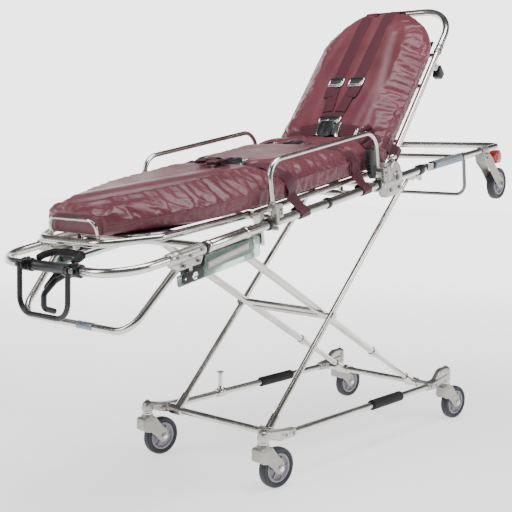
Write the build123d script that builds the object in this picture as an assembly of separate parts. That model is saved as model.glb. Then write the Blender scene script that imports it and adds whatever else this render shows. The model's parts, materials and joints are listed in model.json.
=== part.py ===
"""Ambulance stretcher trolley: wheeled base, crossed folding legs, pitched litter, raised backrest.

Millimetres and degrees. +X runs from the foot end to the head end, +Z is up, and the floor is Z = 0.
The litter, foot section, backrest and drop frame are each drawn in a frame of their own.
"""

import math
import os

from build123d import *

# Wheels and casters
WHEEL_R = 63.5
WHEEL_WIDTH = 30
HUB_R = 46
AXLE_R = 5
TRAIL = 57
SWIVEL = -8
STEM_R = 6
CROWN_TOP = 150
BOSS_BOTTOM = 157

# Base frame
FOOT_STEM_X = -440
HEAD_STEM_X = 680
STEM_Y = 250
BASE_Z = 155
BASE_TUBE = 22
FOOT_CROSS_X = FOOT_STEM_X + 85
HEAD_CROSS_X = HEAD_STEM_X - 100
BASE_RAIL_START = FOOT_STEM_X + 76
BASE_RAIL_END = HEAD_STEM_X - 76
POST_X = -75
FOAM_START, FOAM_END = 155, 345

# Crossed legs
CROSSING = (-25, 487)
OUTER_LEG_Y, OUTER_LEG_D = 194, 20
INNER_LEG_Y, UPPER_D, LOWER_D = 161, 25, 20
TELESCOPE_AT = 313
LOWER_LENGTH = 560
LEG_WALL = 2
FIT = 0.05

# Litter: side rails pitched head up
TILT = math.degrees(math.atan(0.1869))
LITTER_HEIGHT = 816.7
RAIL_V, RAIL_D = 265, 28
WALL = 2
RAIL_START, RAIL_END = -372, 880
SEAT_RAIL_V, SEAT_RAIL_W, SEAT_RAIL_D = 215, 30, 19
CROSS_MEMBERS = (-290, 60, 430)
PROP_PIVOT, PROP_LENGTH = -300, 160
HEAD_PIVOT_W = -30
CARRIAGE_W = -45
GUIDE_V, GUIDE_D = 222, 12
GUIDE_START, GUIDE_END = -350, -50

# Foot-end handles
HANDLE_U, HANDLE_D = -610, 25
BAIL_U, BAIL_W, BAIL_D = -572, -165, 20
LOOP_V, LOOP_DROP, LOOP_D = 100, 128, 15

# Hinged sections of the litter
FOOT_HINGE = (-40, 32)
FOOT_RISE = 2.9
FOOT_LENGTH = 501
BACK_HINGE = (668, 10)
BACK_ANGLE = 43.4
BACK_V, BACK_D = 236, 22
BACK_JOINT, BACK_TOP = 570, 765
DROP_HINGE_U = 905
DROP_SAG = 1.8
DROP_LENGTH, DROP_D = 573, 25
BAIL_HINGE_X, HEAD_BAIL_DROP, HEAD_BAIL_V = 317, 157, 244
LOAD_AXLE = (546, -149)
STRUT_FOOT = (690, -25)
STRUT_HEAD = (400, -26)
CYLINDER_LENGTH, ROD_LENGTH = 215, 250

# Side arms
ARM_V, ARM_W = 287, 28
ARM_HOOP_V, ARM_D = 262, 16
ARM_FRONT, ARM_REAR, ARM_TOP = 12, 585, 180

# Mattress
MATTRESS_HALF = 232
SEAT_BOTTOM, SEAT_TOP = 43.5, 144
SEAT_END = 585
BACK_PAD = (40, 690, 15, 95)

SIDES = (-1, 1)


def spot(x, z):
    """Location at a point of the centre plane."""
    return Location((x, 0, z))


def pitch(angle):
    """Location turned so that its +X end rises by angle."""
    return Location((0, 0, 0), (0, -angle, 0))


LITTER = spot(FOOT_STEM_X, LITTER_HEIGHT) * pitch(TILT)
FOOT = LITTER * spot(*FOOT_HINGE) * pitch(-FOOT_RISE)
BACK = LITTER * spot(*BACK_HINGE) * pitch(BACK_ANGLE)
DROP = LITTER * spot(DROP_HINGE_U, 0) * pitch(-DROP_SAG)
LOOP = LITTER * spot(HANDLE_U, 3) * pitch(-TILT)


def in_plane(frame, x, z):
    """World X and Z of a point of a frame's centre plane."""
    point = (frame * spot(x, z)).position
    return point.X, point.Z


def in_litter(x, z):
    """Litter u and w of a world point of the centre plane."""
    point = (LITTER.inverse() * spot(x, z)).position
    return point.X, point.Z


def leg_meets(pivot, level):
    """World point where the line from a base pivot through the crossing reaches a litter level w."""
    (u0, w0), (u1, w1) = in_litter(*pivot), in_litter(*CROSSING)
    share = (level - w0) / (w1 - w0)
    return in_plane(LITTER, u0 + share * (u1 - u0), level)


FOOT_PIVOT = (FOOT_CROSS_X, BASE_Z)
HEAD_PIVOT = (HEAD_CROSS_X, BASE_Z)
OUTER_TOP = leg_meets(FOOT_PIVOT, HEAD_PIVOT_W)
INNER_TOP = leg_meets(HEAD_PIVOT, CARRIAGE_W)


def path_of(points, bend):
    """Wire through points, with each corner rounded to the bend radius."""
    return FilletPolyline(*points, radius=bend) if bend else Polyline(*points)


def bar(points, diameter, bend=0):
    """Solid round bar along a bent path."""
    path = path_of(points, bend)
    return sweep(Plane(origin=path @ 0, z_dir=path % 0) * Circle(diameter / 2), path=path)


def tube(points, diameter, bend=0, wall=WALL):
    """Hollow round tube along a bent path, open at both ends."""
    return bar(points, diameter, bend) - bar(points, diameter - 2 * wall, bend)


def rod_y(x, z, diameter, start, end):
    """Solid round bar across the trolley."""
    return Location((x, (start + end) / 2, z), (90, 0, 0)) * Cylinder(diameter / 2, abs(end - start))


def rod_x(y, z, diameter, start, end):
    """Solid round bar along a frame's length."""
    return Location(((start + end) / 2, y, z), (0, 90, 0)) * Cylinder(diameter / 2, abs(end - start))


def block(x, y, z):
    """Box between the given limits along each axis."""
    middle = ((x[0] + x[1]) / 2, (y[0] + y[1]) / 2, (z[0] + z[1]) / 2)
    return Location(middle) * Box(abs(x[1] - x[0]), abs(y[1] - y[0]), abs(z[1] - z[0]))


def plate(outline, start, end, fillet_r=0):
    """Flat plate with an X-Z outline, standing between two Y values."""
    face = make_face(Polyline(*[(x, z) for x, z in outline], close=True))
    if fillet_r:
        face = fillet(face.vertices(), fillet_r)
    low, high = min(start, end), max(start, end)
    return extrude(Plane(origin=(0, low, 0), x_dir=(1, 0, 0), z_dir=(0, -1, 0)) * face, amount=low - high)


def slab(outline, low, high, fillet_r=0):
    """Flat slab with an X-Y outline, lying between two Z values."""
    face = make_face(Polyline(*outline, close=True))
    if fillet_r:
        face = fillet(face.vertices(), fillet_r)
    return extrude(Location((0, 0, low)) * face, amount=high - low)


def group(*pieces):
    """Separate solids that share one node."""
    solids = [solid for piece in pieces for solid in piece.solids()]
    return Compound(children=solids)


def mirrored(build):
    """The pieces that build makes for each side."""
    return group(*[build(side) for side in SIDES])


# Casters and wheels


def wheel(x, y, z):
    """Tyre and hub centred on a point, with the axle along Y."""
    half = WHEEL_WIDTH / 2
    tread = make_face(
        Polyline(
            (HUB_R, -half + 3), (WHEEL_R - 7, -half), (WHEEL_R, -half + 8),
            (WHEEL_R, half - 8), (WHEEL_R - 7, half), (HUB_R, half - 3), close=True,
        )
    )
    core = make_face(
        Polyline(
            (AXLE_R + FIT, -half), (14, -half), (18, -6), (36, -5), (39, -half + 3), (HUB_R, -half + 3),
            (HUB_R, half - 3), (39, half - 3), (36, 5), (18, 6), (14, half), (AXLE_R + FIT, half), close=True,
        )
    )
    place = Location((x, y, z), (-90, 0, 0))
    spun = [revolve(Plane.XZ * face, axis=Axis.Z) for face in (tread, core)]
    return [place * piece for piece in spun]


def caster_fork(stem_top):
    """Fork with its swivel stem and axle, drawn about the stem with the wheel trailing along +X."""
    inner, outer = WHEEL_WIDTH / 2 + 2, WHEEL_WIDTH / 2 + 6
    outline = [(-26, 134), (-28, 92), (4, 84), (42, 48), (66, 47), (75, 62), (70, 84), (46, 104), (26, 134)]
    fork = plate(outline, inner, outer, 3) + plate(outline, -inner, -outer, 3)
    fork += block((-26, 24), (-outer, outer), (128, 136))
    fork += block((-28, -24), (-outer, outer), (94, 132))
    fork += Location((0, 0, (136 + CROWN_TOP) / 2)) * Cylinder(20, CROWN_TOP - 136)
    fork += Location((0, 0, (128 + stem_top) / 2)) * Cylinder(STEM_R, stem_top - 128)
    fork += rod_y(TRAIL, WHEEL_R, 2 * AXLE_R, -outer - 5, outer + 5)
    for side in SIDES:
        fork += rod_y(TRAIL, WHEEL_R, 17, side * outer, side * (outer + 5))
    return fork


def casters():
    """Fork, tyre and hub of each caster, with the wheels swivelled a little."""
    parts = {}
    for end, stem_x, stem_top in (("foot", FOOT_STEM_X, 180), ("head", HEAD_STEM_X, 192)):
        for name, side in (("right", -1), ("left", 1)):
            place = Location((stem_x, side * STEM_Y, 0), (0, 0, SWIVEL))
            tyre, hub = wheel(TRAIL, 0, WHEEL_R)
            parts[f"caster_fork_{end}_{name}"] = place * caster_fork(stem_top)
            parts[f"caster_tyre_{end}_{name}"] = place * tyre
            parts[f"caster_hub_{end}_{name}"] = place * hub
    return parts


# Base


def base_tubes():
    """Two side rails, and two cross tubes that end square against them."""
    reach = STEM_Y - BASE_TUBE / 2
    rails = [
        tube([(BASE_RAIL_START, side * STEM_Y, BASE_Z), (BASE_RAIL_END, side * STEM_Y, BASE_Z)], BASE_TUBE)
        for side in SIDES
    ]
    crosses = [
        tube([(x, -reach, BASE_Z), (x, reach, BASE_Z)], BASE_TUBE) for x in (FOOT_CROSS_X, HEAD_CROSS_X)
    ]
    return group(*rails, *crosses)


def corner_casting(stem_x, inward, outline, boss_top):
    """Casting that joins the right-hand caster's stem to the end of its side rail."""
    shape = plate([(stem_x + inward * x, z) for x, z in outline], -STEM_Y - 14, -STEM_Y + 14, 3)
    boss = Location((stem_x, -STEM_Y, (BOSS_BOTTOM + boss_top) / 2)) * Cylinder(19, boss_top - BOSS_BOTTOM)
    socket = rod_x(-STEM_Y, BASE_Z, 31, stem_x + inward * 76, stem_x + inward * 150)
    rail = rod_x(-STEM_Y, BASE_Z, BASE_TUBE, stem_x + inward * 76, stem_x + inward * 160)
    cross = rod_y(FOOT_CROSS_X if stem_x < 0 else HEAD_CROSS_X, BASE_Z, BASE_TUBE, 8 - STEM_Y, 0)
    stem = Location((stem_x, -STEM_Y, 150)) * Cylinder(STEM_R + FIT, 120)
    return shape + boss + socket - rail - cross - stem


def corner_castings():
    """Low castings at the foot end and swan-necked castings at the head end."""
    low = [
        (-17, 158), (-17, 184), (12, 188), (50, 178), (80, 170), (148, 169), (148, 142), (78, 142), (22, 159),
    ]
    neck = [
        (-19, 159), (-19, 200), (-8, 208), (48, 208), (66, 200), (90, 176),
        (148, 169), (148, 142), (78, 142), (52, 152), (30, 166), (20, 159),
    ]
    right = [corner_casting(FOOT_STEM_X, 1, low, 186), corner_casting(HEAD_STEM_X, -1, neck, 198)]
    return group(*right, *[mirror(piece, about=Plane.XZ) for piece in right])


def foam_sleeves():
    """Foam grips around the middle of the side rails."""
    def sleeve(side):
        y = side * STEM_Y
        outer = rod_x(y, BASE_Z, 36, FOAM_START, FOAM_END)
        return outer - rod_x(y, BASE_Z, BASE_TUBE, FOAM_START - 1, FOAM_END + 1)

    return mirrored(sleeve)


def lock_post():
    """Upright post on the far rail that a vehicle's floor catch holds."""
    collar = rod_x(STEM_Y, BASE_Z, 32, POST_X - 22, POST_X + 22)
    stalk = Location((POST_X, STEM_Y, BASE_Z + 42)) * Cylinder(8, 62)
    flare = Location((POST_X, STEM_Y, BASE_Z + 71)) * Cone(8, 13, 8)
    cap = Location((POST_X, STEM_Y, BASE_Z + 76.5)) * Cylinder(13, 3)
    return collar + stalk + flare + cap - rod_x(STEM_Y, BASE_Z, BASE_TUBE, POST_X - 30, POST_X + 30)


# Crossed legs


def along(start, end, distance):
    """X and Z at a distance from start towards end."""
    length = math.dist(start, end)
    return tuple(a + (b - a) * distance / length for a, b in zip(start, end))


def leg_bar(side_y, start, end, low, high, diameter, wall=None):
    """Straight leg tube beside the centre plane, between two distances from its lower pivot."""
    (x0, z0), (x1, z1) = along(start, end, low), along(start, end, high)
    points = [(x0, side_y, z0), (x1, side_y, z1)]
    return tube(points, diameter, wall=wall) if wall else bar(points, diameter)


def leg_tee(side_y, pivot, far, cross_d, leg_d):
    """Tee that turns on a cross tube, with a socket for the leg."""
    ring = rod_y(*pivot, cross_d + 12, side_y - 24, side_y + 24)
    socket = leg_bar(side_y, pivot, far, 0, 62, leg_d + 8)
    bore = rod_y(*pivot, cross_d + 2 * FIT, side_y - 30, side_y + 30)
    return ring + socket - bore - leg_bar(side_y, pivot, far, 22, 90, leg_d)


def outer_legs():
    """Pair of outer legs from the foot cross tube to the litter's head pivot, with their end tees."""
    length = math.dist(FOOT_PIVOT, OUTER_TOP)
    crossing = math.dist(FOOT_PIVOT, CROSSING)

    def leg(side):
        y = side * OUTER_LEG_Y
        shaft = leg_bar(y, FOOT_PIVOT, OUTER_TOP, 22, length - 22, OUTER_LEG_D, LEG_WALL)
        spot_x, spot_z = along(FOOT_PIVOT, OUTER_TOP, crossing)
        bolt = rod_y(spot_x, spot_z, 12, side * (INNER_LEG_Y + UPPER_D / 2 + 1.5), side * 206)
        bolt += rod_y(spot_x, spot_z, 22, side * 206, side * 211)
        shaft -= rod_y(spot_x, spot_z, 12, side * 170, side * 215)
        tees = [
            leg_tee(y, FOOT_PIVOT, OUTER_TOP, BASE_TUBE, OUTER_LEG_D),
            leg_tee(y, OUTER_TOP, FOOT_PIVOT, 20, OUTER_LEG_D),
        ]
        return group(shaft, bolt, *tees)

    return mirrored(leg)


def inner_legs_lower():
    """Sliding lower tubes of the inner legs, with tees on the head cross tube."""
    def leg(side):
        y = side * INNER_LEG_Y
        shaft = leg_bar(y, HEAD_PIVOT, CROSSING, 22, LOWER_LENGTH, LOWER_D, LEG_WALL)
        return group(shaft, leg_tee(y, HEAD_PIVOT, CROSSING, BASE_TUBE, LOWER_D))

    return mirrored(leg)


def inner_legs_upper():
    """Upper tubes of the inner legs with end collars, tied by cross tubes at the crossing and the top."""
    length = math.dist(HEAD_PIVOT, INNER_TOP)
    crossing = math.dist(HEAD_PIVOT, CROSSING)
    wall = (UPPER_D - LOWER_D) / 2 - FIT
    filled = mirrored(
        lambda side: leg_bar(side * INNER_LEG_Y, HEAD_PIVOT, INNER_TOP, 0, length + 30, UPPER_D)
    )

    def leg(side):
        y = side * INNER_LEG_Y
        shaft = leg_bar(y, HEAD_PIVOT, INNER_TOP, TELESCOPE_AT, length - 14, UPPER_D, wall)
        collar = leg_bar(y, HEAD_PIVOT, INNER_TOP, TELESCOPE_AT, TELESCOPE_AT + 26, UPPER_D + 6)
        eye = rod_y(*INNER_TOP, 32, side * (INNER_LEG_Y - 13), side * (INNER_LEG_Y + 13))
        bore = leg_bar(y, HEAD_PIVOT, INNER_TOP, TELESCOPE_AT - 5, TELESCOPE_AT + 40, UPPER_D)
        return group(shaft, collar - bore, eye - leg_bar(y, HEAD_PIVOT, INNER_TOP, 0, length - 14, UPPER_D))

    def tie(distance, offset, diameter):
        x, z = along(HEAD_PIVOT, INNER_TOP, distance)
        run = tube([(x, -INNER_LEG_Y, z + offset), (x, INNER_LEG_Y, z + offset)], diameter) - filled
        return max(run.solids(), key=lambda solid: solid.volume)

    ties = [tie(crossing - 22, 0, 19), tie(crossing + 22, 0, 19), tie(length - 40, 0, 16)]
    return group(leg(-1), leg(1), *ties)


def lift_carriage():
    """Blocks that slide on the guide rods and carry the inner legs' stub pins."""
    u, w = in_litter(*INNER_TOP)

    def slider(side):
        body = block((u - 20, u + 20), (side * 205, side * 235), (w - 15, w + 15))
        body += rod_y(u, w, 18, side * (INNER_LEG_Y + 15), side * 206)
        return LITTER * (body - rod_x(side * GUIDE_V, w, GUIDE_D + 2 * FIT, u - 30, u + 30))

    return mirrored(slider)


# Litter


def litter_tubes():
    """Side rails, cross members, seat rails, guide rods and hinge rods, as separate welded tubes."""
    rails = mirrored(
        lambda side: tube([(RAIL_START, side * RAIL_V, 0), (RAIL_END, side * RAIL_V, 0)], RAIL_D)
    )
    filled = mirrored(lambda side: rod_x(side * RAIL_V, 0, RAIL_D, RAIL_START - 99, RAIL_END))

    def fitted(x, z, diameter):
        run = tube([(x, -RAIL_V, z), (x, RAIL_V, z)], diameter) - filled
        return max(run.solids(), key=lambda solid: solid.volume)

    crosses = [fitted(u, 0, 20) for u in CROSS_MEMBERS]
    seat = mirrored(
        lambda side: tube([(-14, side * SEAT_RAIL_V, SEAT_RAIL_W), (640, side * SEAT_RAIL_V, SEAT_RAIL_W)],
                          SEAT_RAIL_D, wall=1.6)
    )
    risers = [
        block((u - 7, u + 7), (side * (SEAT_RAIL_V - 5), side * (SEAT_RAIL_V + 5)), (9, 21))
        - rod_y(u, 0, 20, -RAIL_V, RAIL_V)
        - rod_x(side * SEAT_RAIL_V, SEAT_RAIL_W, SEAT_RAIL_D, u - 20, u + 20)
        for u in CROSS_MEMBERS[1:] for side in SIDES
    ]
    guides = mirrored(lambda side: rod_x(side * GUIDE_V, CARRIAGE_W, GUIDE_D, GUIDE_START, GUIDE_END))
    lower_bail_bar = bar(bail_points(), BAIL_D, 62)
    lugs = [
        block((u - 6, u + 6), (side * 212, side * 262), (CARRIAGE_W - 12, 0)) - filled - lower_bail_bar
        for u in (GUIDE_START - 6, GUIDE_END + 6) for side in SIDES
    ]
    pivot_u, pivot_w = in_litter(*OUTER_TOP)
    head_rod = rod_y(pivot_u, pivot_w, 20, -244, 244)
    hinge_rod = rod_y(*FOOT_HINGE, GUIDE_D, -238, 238)
    strut_rod = rod_y(*STRUT_FOOT, 16, -248.8, 248.8)
    ears = [
        block((pivot_u - 14, pivot_u + 3), (side * 244, side * 252), (pivot_w - 13, 3)) - filled
        for side in SIDES
    ]
    stands = [
        plate([(-52, 0), (-28, 0), (-30, 42), (-50, 42)], side * 238, side * 262) - filled
        for side in SIDES
    ]
    knuckles = [
        plate([(RAIL_END, -13), (DROP_HINGE_U + 4, -13), (DROP_HINGE_U + 14, -6), (DROP_HINGE_U + 14, 6),
               (DROP_HINGE_U + 4, 13), (RAIL_END, 13)], side * 252, side * 264.7)
        + rod_y(DROP_HINGE_U, 0, 10, side * 252, side * 281)
        for side in SIDES
    ]
    return LITTER * group(
        rails, *crosses, seat, *risers, guides, *lugs, head_rod, hinge_rod, strut_rod, *ears, *stands,
        *knuckles,
    )


def handle_frame():
    """Lifting frame around the foot end, from one casting to the other."""
    points = [
        (RAIL_START - 1, -RAIL_V, 0), (HANDLE_U, -RAIL_V, 3),
        (HANDLE_U, RAIL_V, 3), (RAIL_START - 1, RAIL_V, 0),
    ]
    return LITTER * tube(points, HANDLE_D, 112)


def bail_points():
    """Route of the lower lifting bail."""
    half = [(-312, 250, -31), (-392, 250, -31), (BAIL_U, 222, BAIL_W)]
    return [(u, -v, w) for u, v, w in half] + [(u, v, w) for u, v, w in reversed(half)]


def lower_bail():
    """Lower lifting bail below the foot end."""
    return LITTER * tube(bail_points(), BAIL_D, 62)


def foot_castings():
    """Clamp castings that hold the rail, the lifting frame and the lower bail together."""
    def casting(side):
        shape = rod_x(side * RAIL_V, 0, 36, -440, -303) + rod_x(side * 250, -31, 28, -400, -312)
        shape += block((-430, -312), (side * 246, side * 268), (-32, 0))
        shape -= rod_x(side * RAIL_V, 0, RAIL_D, RAIL_START, -290)
        shape -= bar([(RAIL_START - 1, side * RAIL_V, 0), (HANDLE_U, side * RAIL_V, 3)], HANDLE_D)
        shape -= bar(bail_points(), BAIL_D, 62)
        guide_lug = block((GUIDE_START - 12, GUIDE_START), (side * 212, side * 262), (-60, 0))
        return LITTER * (shape - guide_lug)

    return mirrored(casting)


def rail_collars():
    """Sleeves and rings clamped around the side rails."""
    def ring(side, start, end, diameter):
        outer = rod_x(side * RAIL_V, 0, diameter, start, end)
        outer -= rod_y(CROSS_MEMBERS[0], 0, 20, -RAIL_V, RAIL_V)
        return LITTER * (outer - rod_x(side * RAIL_V, 0, RAIL_D, start - 1, end + 1))

    def set_of(side):
        spans = [(-296, -116, 34), (-24, -18, 37), (276, 286, 36), (566, 574, 37), (840, 862, 37)]
        collars = [ring(side, *span) for span in spans]
        lug = LITTER * block((GUIDE_END, GUIDE_END + 12), (side * 212, side * 262), (-60, 0))
        return group(*[collar - lug for collar in collars])

    return mirrored(set_of)


def arm_mounts():
    """Side-arm brackets at the front and pivot castings for the arms and backrest at the rear."""
    def front(side):
        shape = rod_x(side * RAIL_V, 0, 40, -10, 2) - rod_x(side * RAIL_V, 0, RAIL_D, -20, 10)
        shape += block((-10, 0), (side * 278, side * 296), (2, 58)) - rod_x(side * RAIL_V, 0, RAIL_D, -20, 10)
        return LITTER * (shape + rod_x(side * ARM_V, ARM_W, 8, -10, 22))

    def rear(side):
        outline = [
            (598, -44), (676, -44), (704, -22), (706, 20), (694, 52), (672, 66), (646, 48), (626, 40),
            (620, 70), (598, 70),
        ]
        shape = plate(outline, side * 249, side * 284, 4)
        shape += rod_y(BACK_HINGE[0] + 26, 18, 26, side * 280, side * 290)
        shape += rod_y(*BACK_HINGE, 24, side * 280, side * 288)
        shape += rod_y(*BACK_HINGE, 12, side * 250, side * 222)
        shape += block((597, 610), (side * 278, side * 296), (10, 58))
        shape += rod_x(side * ARM_V, ARM_W, 8, 574, 600)
        return LITTER * (shape - rod_x(side * RAIL_V, 0, RAIL_D, 560, 740))

    return group(mirrored(front), mirrored(rear))


def lock_housings():
    """Height-lock boxes beside the guide rods."""
    outline = [(-384, -66), (-100, -66), (-82, -52), (-82, -24), (-96, -16), (-296, -16), (-384, -30)]

    def housing(side):
        shell = plate(outline, side * 241, side * 260, 5)
        keep_out = rod_x(side * RAIL_V, 0, 40, -460, 0)
        keep_out += block((-440, -304), (side * 230, side * 270), (-48, 0))
        lug = block((GUIDE_START - 12, GUIDE_START), (side * 212, side * 262), (-60, 0))
        return LITTER * max((shell - keep_out - lug).solids(), key=lambda solid: solid.volume)

    return mirrored(housing)


def guard_panels():
    """Plastic guards outside the lock boxes."""
    outline = [(-414, -82), (-66, -82), (-62, -22), (-300, -22), (-308, -50), (-414, -50)]
    return LITTER * mirrored(lambda side: plate(outline, side * 262, side * 265, 4))


def seat_deck():
    """Flat deck under the seat mattress."""
    return LITTER * block((-12, 580), (-206, 206), (40, 43))


def foot_controls():
    """Pivot clamps, dark sleeve and foam grip on the foot crossbar."""
    def clamp(side):
        y = side * LOOP_V
        body = rod_y(0, 0, 37, y - side * 22, y + side * 16)
        body += block((-34, -8), (side * 84, side * 90), (-10, 14))
        body += rod_y(-30, 2, 8, side * 84, side * 112)
        body += rod_y(-30, 2, 14, side * 109.5, side * 114)
        return LOOP * body

    sleeve = LOOP * rod_y(0, 0, 31, -77.5, 77.5)
    inner = LITTER * rod_y(HANDLE_U, 3, HANDLE_D, -150, 150)
    arc = [
        (HANDLE_U + 14, -72, 20), (HANDLE_U + 62, -60, 24),
        (HANDLE_U + 62, 60, 24), (HANDLE_U + 14, 72, 20),
    ]
    return group(clamp(-1) - inner, clamp(1) - inner, sleeve - inner, LITTER * bar(arc, 20, 30) - sleeve)


def control_handle():
    """Curved squeeze handle below the crossbar, on a cross pin."""
    hook = [(-562, 0, -26), (-608, 0, -36), (-652, 0, -60), (-658, 0, -98), (-618, 0, -118)]
    grip = bar(hook, 16, 15) + rod_y(-562, -26, 24, -9.5, 9.5)
    return LITTER * (grip - rod_y(-562, -26, 8 + 2 * FIT, -20, 20))


def control_mount():
    """Lugs and pin that the squeeze handle and the trigger turn on."""
    outline = [(-600, 0), (-550, -14), (-552, -38), (-572, -38), (-604, -14)]
    pin = rod_y(-562, -26, 8, -16, 16)
    lugs = [plate(outline, side * 10, side * 16) for side in SIDES]
    trigger_pin = rod_y(-562, -26, 8, 16, 52)
    crossbar = rod_y(HANDLE_U, 3, 31, -80, 80)
    return LITTER * (pin + lugs[0] + lugs[1] + trigger_pin - crossbar)


def trigger():
    """Small release paddle beside the squeeze handle."""
    body = rod_y(-562, -26, 18, 20, 48)
    body += plate([(-566, -20), (-558, -34), (-606, -64), (-616, -54)], 24, 44, 3)
    return LITTER * (body - rod_y(-562, -26, 8 + 2 * FIT, 10, 60))


def lift_loop():
    """Hanging lifting loop, drawn in an upright frame at the foot crossbar."""
    points = [
        (-30, -LOOP_V, 9), (-30, -LOOP_V, -LOOP_DROP), (-30, LOOP_V, -LOOP_DROP), (-30, LOOP_V, 9),
    ]
    return LOOP * (bar(points, LOOP_D, 46) - rod_y(-30, 2, 8 + 2 * FIT, -130, 130))


# Mattress and straps


def seat_mattress():
    """Plain solid of the mattress between the two hinges."""
    outline = [(-38, SEAT_BOTTOM), (SEAT_END, SEAT_BOTTOM), (SEAT_END - 8, SEAT_TOP), (-38, SEAT_TOP)]
    return LITTER * plate(outline, -MATTRESS_HALF, MATTRESS_HALF)


def foot_mattress():
    """Plain solid of the tapered foot mattress, with room for the section to rise."""
    profile = [(-466, 14), (-12, 14), (-64, 112), (-494, 90), (-494, 76), (-474, 66)]
    taper = [(-500, -98), (-240, -MATTRESS_HALF), (0, -MATTRESS_HALF), (0, MATTRESS_HALF),
             (-240, MATTRESS_HALF), (-500, 98)]
    return FOOT * (plate(profile, -MATTRESS_HALF, MATTRESS_HALF) & slab(taper, 0, 150))


def back_mattress():
    """Plain solid of the back mattress with a rounded top."""
    start, end, low, high = BACK_PAD
    outline = [(start, -238), (end - 130, -238), (end, -120), (end, 120), (end - 130, 238), (start, 238)]
    return BACK * slab(outline, low, high)


def lap_belt():
    """Lap and thigh straps from the side rails over the seat, with their buckles."""
    def strap(side, start, lean):
        low = MATTRESS_HALF + 1
        shape = plate([(start, -6), (start + 46, -6), (start + 46 - lean, SEAT_TOP + 1),
                       (start - lean, SEAT_TOP + 1)], side * low, side * (low + 3))
        shape -= rod_x(side * RAIL_V, 0, RAIL_D + 2, start - 80, start + 80)
        across = side * 60, side * (low + 3)
        top = block((start - lean, start + 46 - lean), across, (SEAT_TOP + 1, SEAT_TOP + 4))
        return LITTER * group(shape, top)

    straps = [strap(side, start, lean) for side in SIDES for start, lean in ((120, 34), (484, 40))]
    buckle = LITTER * block((88, 140), (-56, 56), (SEAT_TOP + 1, SEAT_TOP + 15))
    lap_buckle = LITTER * block((446, 492), (-54, 54), (SEAT_TOP + 1, SEAT_TOP + 19))
    return group(*straps, buckle, lap_buckle)


def harness():
    """Shoulder straps down the face of the back mattress, with their buckles."""
    face = BACK_PAD[3] + 0.6

    def strap(side):
        line = [(150, side * 14), (330, side * 44), (684, side * 60)]
        lean = [(x, y - 22) for x, y in line] + [(x, y + 22) for x, y in reversed(line)]
        return slab(lean, face, face + 3) if side < 0 else slab(lean, face + 3.3, face + 6.3)

    buckles = [block((318, 358), (side * 46 - 26, side * 46 + 26), (face + 7, face + 17)) for side in SIDES]
    main = block((88, 149), (-34, 34), (face, face + 17))
    return BACK * group(strap(-1), strap(1), *buckles, main)


# Foot section


def foot_frame():
    """Tapered tube frame of the foot section with its eyes, prop bar and mattress hoop."""
    side_run = [(-14, 215, 0), (-376, 215, 0), (-FOOT_LENGTH, 122, 0)]
    joint = -340
    points = [(x, -y, z) for x, y, z in side_run] + side_run[::-1]
    bow = [(joint, -215, 0), *points[1:-1], (joint, 215, 0)]
    frame = [tube([(-14, side * 215, 0), (joint, side * 215, 0)], 22) for side in SIDES]
    frame.append(tube(bow, 22, 60))
    eyes = [
        rod_y(0, 0, 22, side * 204, side * 226) - rod_y(0, 0, GUIDE_D + 2 * FIT, side * 190, side * 236)
        - rod_x(side * 215, 0, 22, -60, -14)
        for side in SIDES
    ]
    filled = bar(points, 22, 60)
    run = tube([(PROP_PIVOT, -215, 0), (PROP_PIVOT, 215, 0)], 16) - filled
    prop_bar = max(run.solids(), key=lambda solid: solid.volume)
    hoop = bar([(-478, -96, 0), (-488, -94, 59), (-488, 94, 59), (-478, 96, 0)], 10, 26)
    hoop += mirrored(lambda side: rod_x(side * 96, 0, 9, -496, -473))
    return FOOT * group(*frame, *eyes, prop_bar, hoop - filled)


def foot_deck():
    """Flat deck under the foot mattress."""
    outline = [(-444, -120), (-360, -196), (-24, -196), (-24, 196), (-360, 196), (-444, 120)]
    return FOOT * slab(outline, 11.3, 13.7)


def foot_prop():
    """Folding prop that stands on the litter when the foot section is raised."""
    foot_x = PROP_PIVOT + PROP_LENGTH
    legs = mirrored(lambda side: bar([(PROP_PIVOT + 8, side * 60, 0), (foot_x, side * 60, 0)], 12))
    rings = mirrored(lambda side: rod_y(PROP_PIVOT, 0, 22, side * 50, side * 70))
    body = legs.fuse(rod_y(foot_x, 0, 14, -72, 72), rings)
    return FOOT * (body - rod_y(PROP_PIVOT, 0, 16 + 2 * FIT, -90, 90))


# Backrest


def back_frame():
    """Side tubes of the backrest with pivot eyes, cross bars, strut lug and the knob's guide block."""
    sides = [tube([(14, side * BACK_V, 0), (BACK_JOINT, side * BACK_V, 0)], BACK_D) for side in SIDES]
    eyes = [
        rod_y(0, 0, 30, side * 225, side * 247) - rod_y(0, 0, 12 + 2 * FIT, side * 220, side * 250)
        - rod_x(side * BACK_V, 0, BACK_D, 14, 40)
        for side in SIDES
    ]
    filled = mirrored(lambda side: rod_x(side * BACK_V, 0, BACK_D, 0, BACK_JOINT))
    bars = [
        max(
            (tube([(x, -BACK_V, 0), (x, BACK_V, 0)], 16) - filled).solids(),
            key=lambda solid: solid.volume,
        )
        for x in (150, STRUT_HEAD[0], 545)
    ]
    lug = plate([(388, -6), (412, -6), (408, -38), (392, -38)], -3, 3)
    lug -= rod_y(STRUT_HEAD[0], 0, 16, -20, 20)
    bracket = block((495, 515), (-BACK_V - 10, -BACK_V + 10), (-26, -8)) - filled
    bracket -= Location((505, -BACK_V, -30)) * Cylinder(5 + FIT, 36)
    return BACK * group(*sides, *eyes, *bars, lug, bracket)


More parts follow.
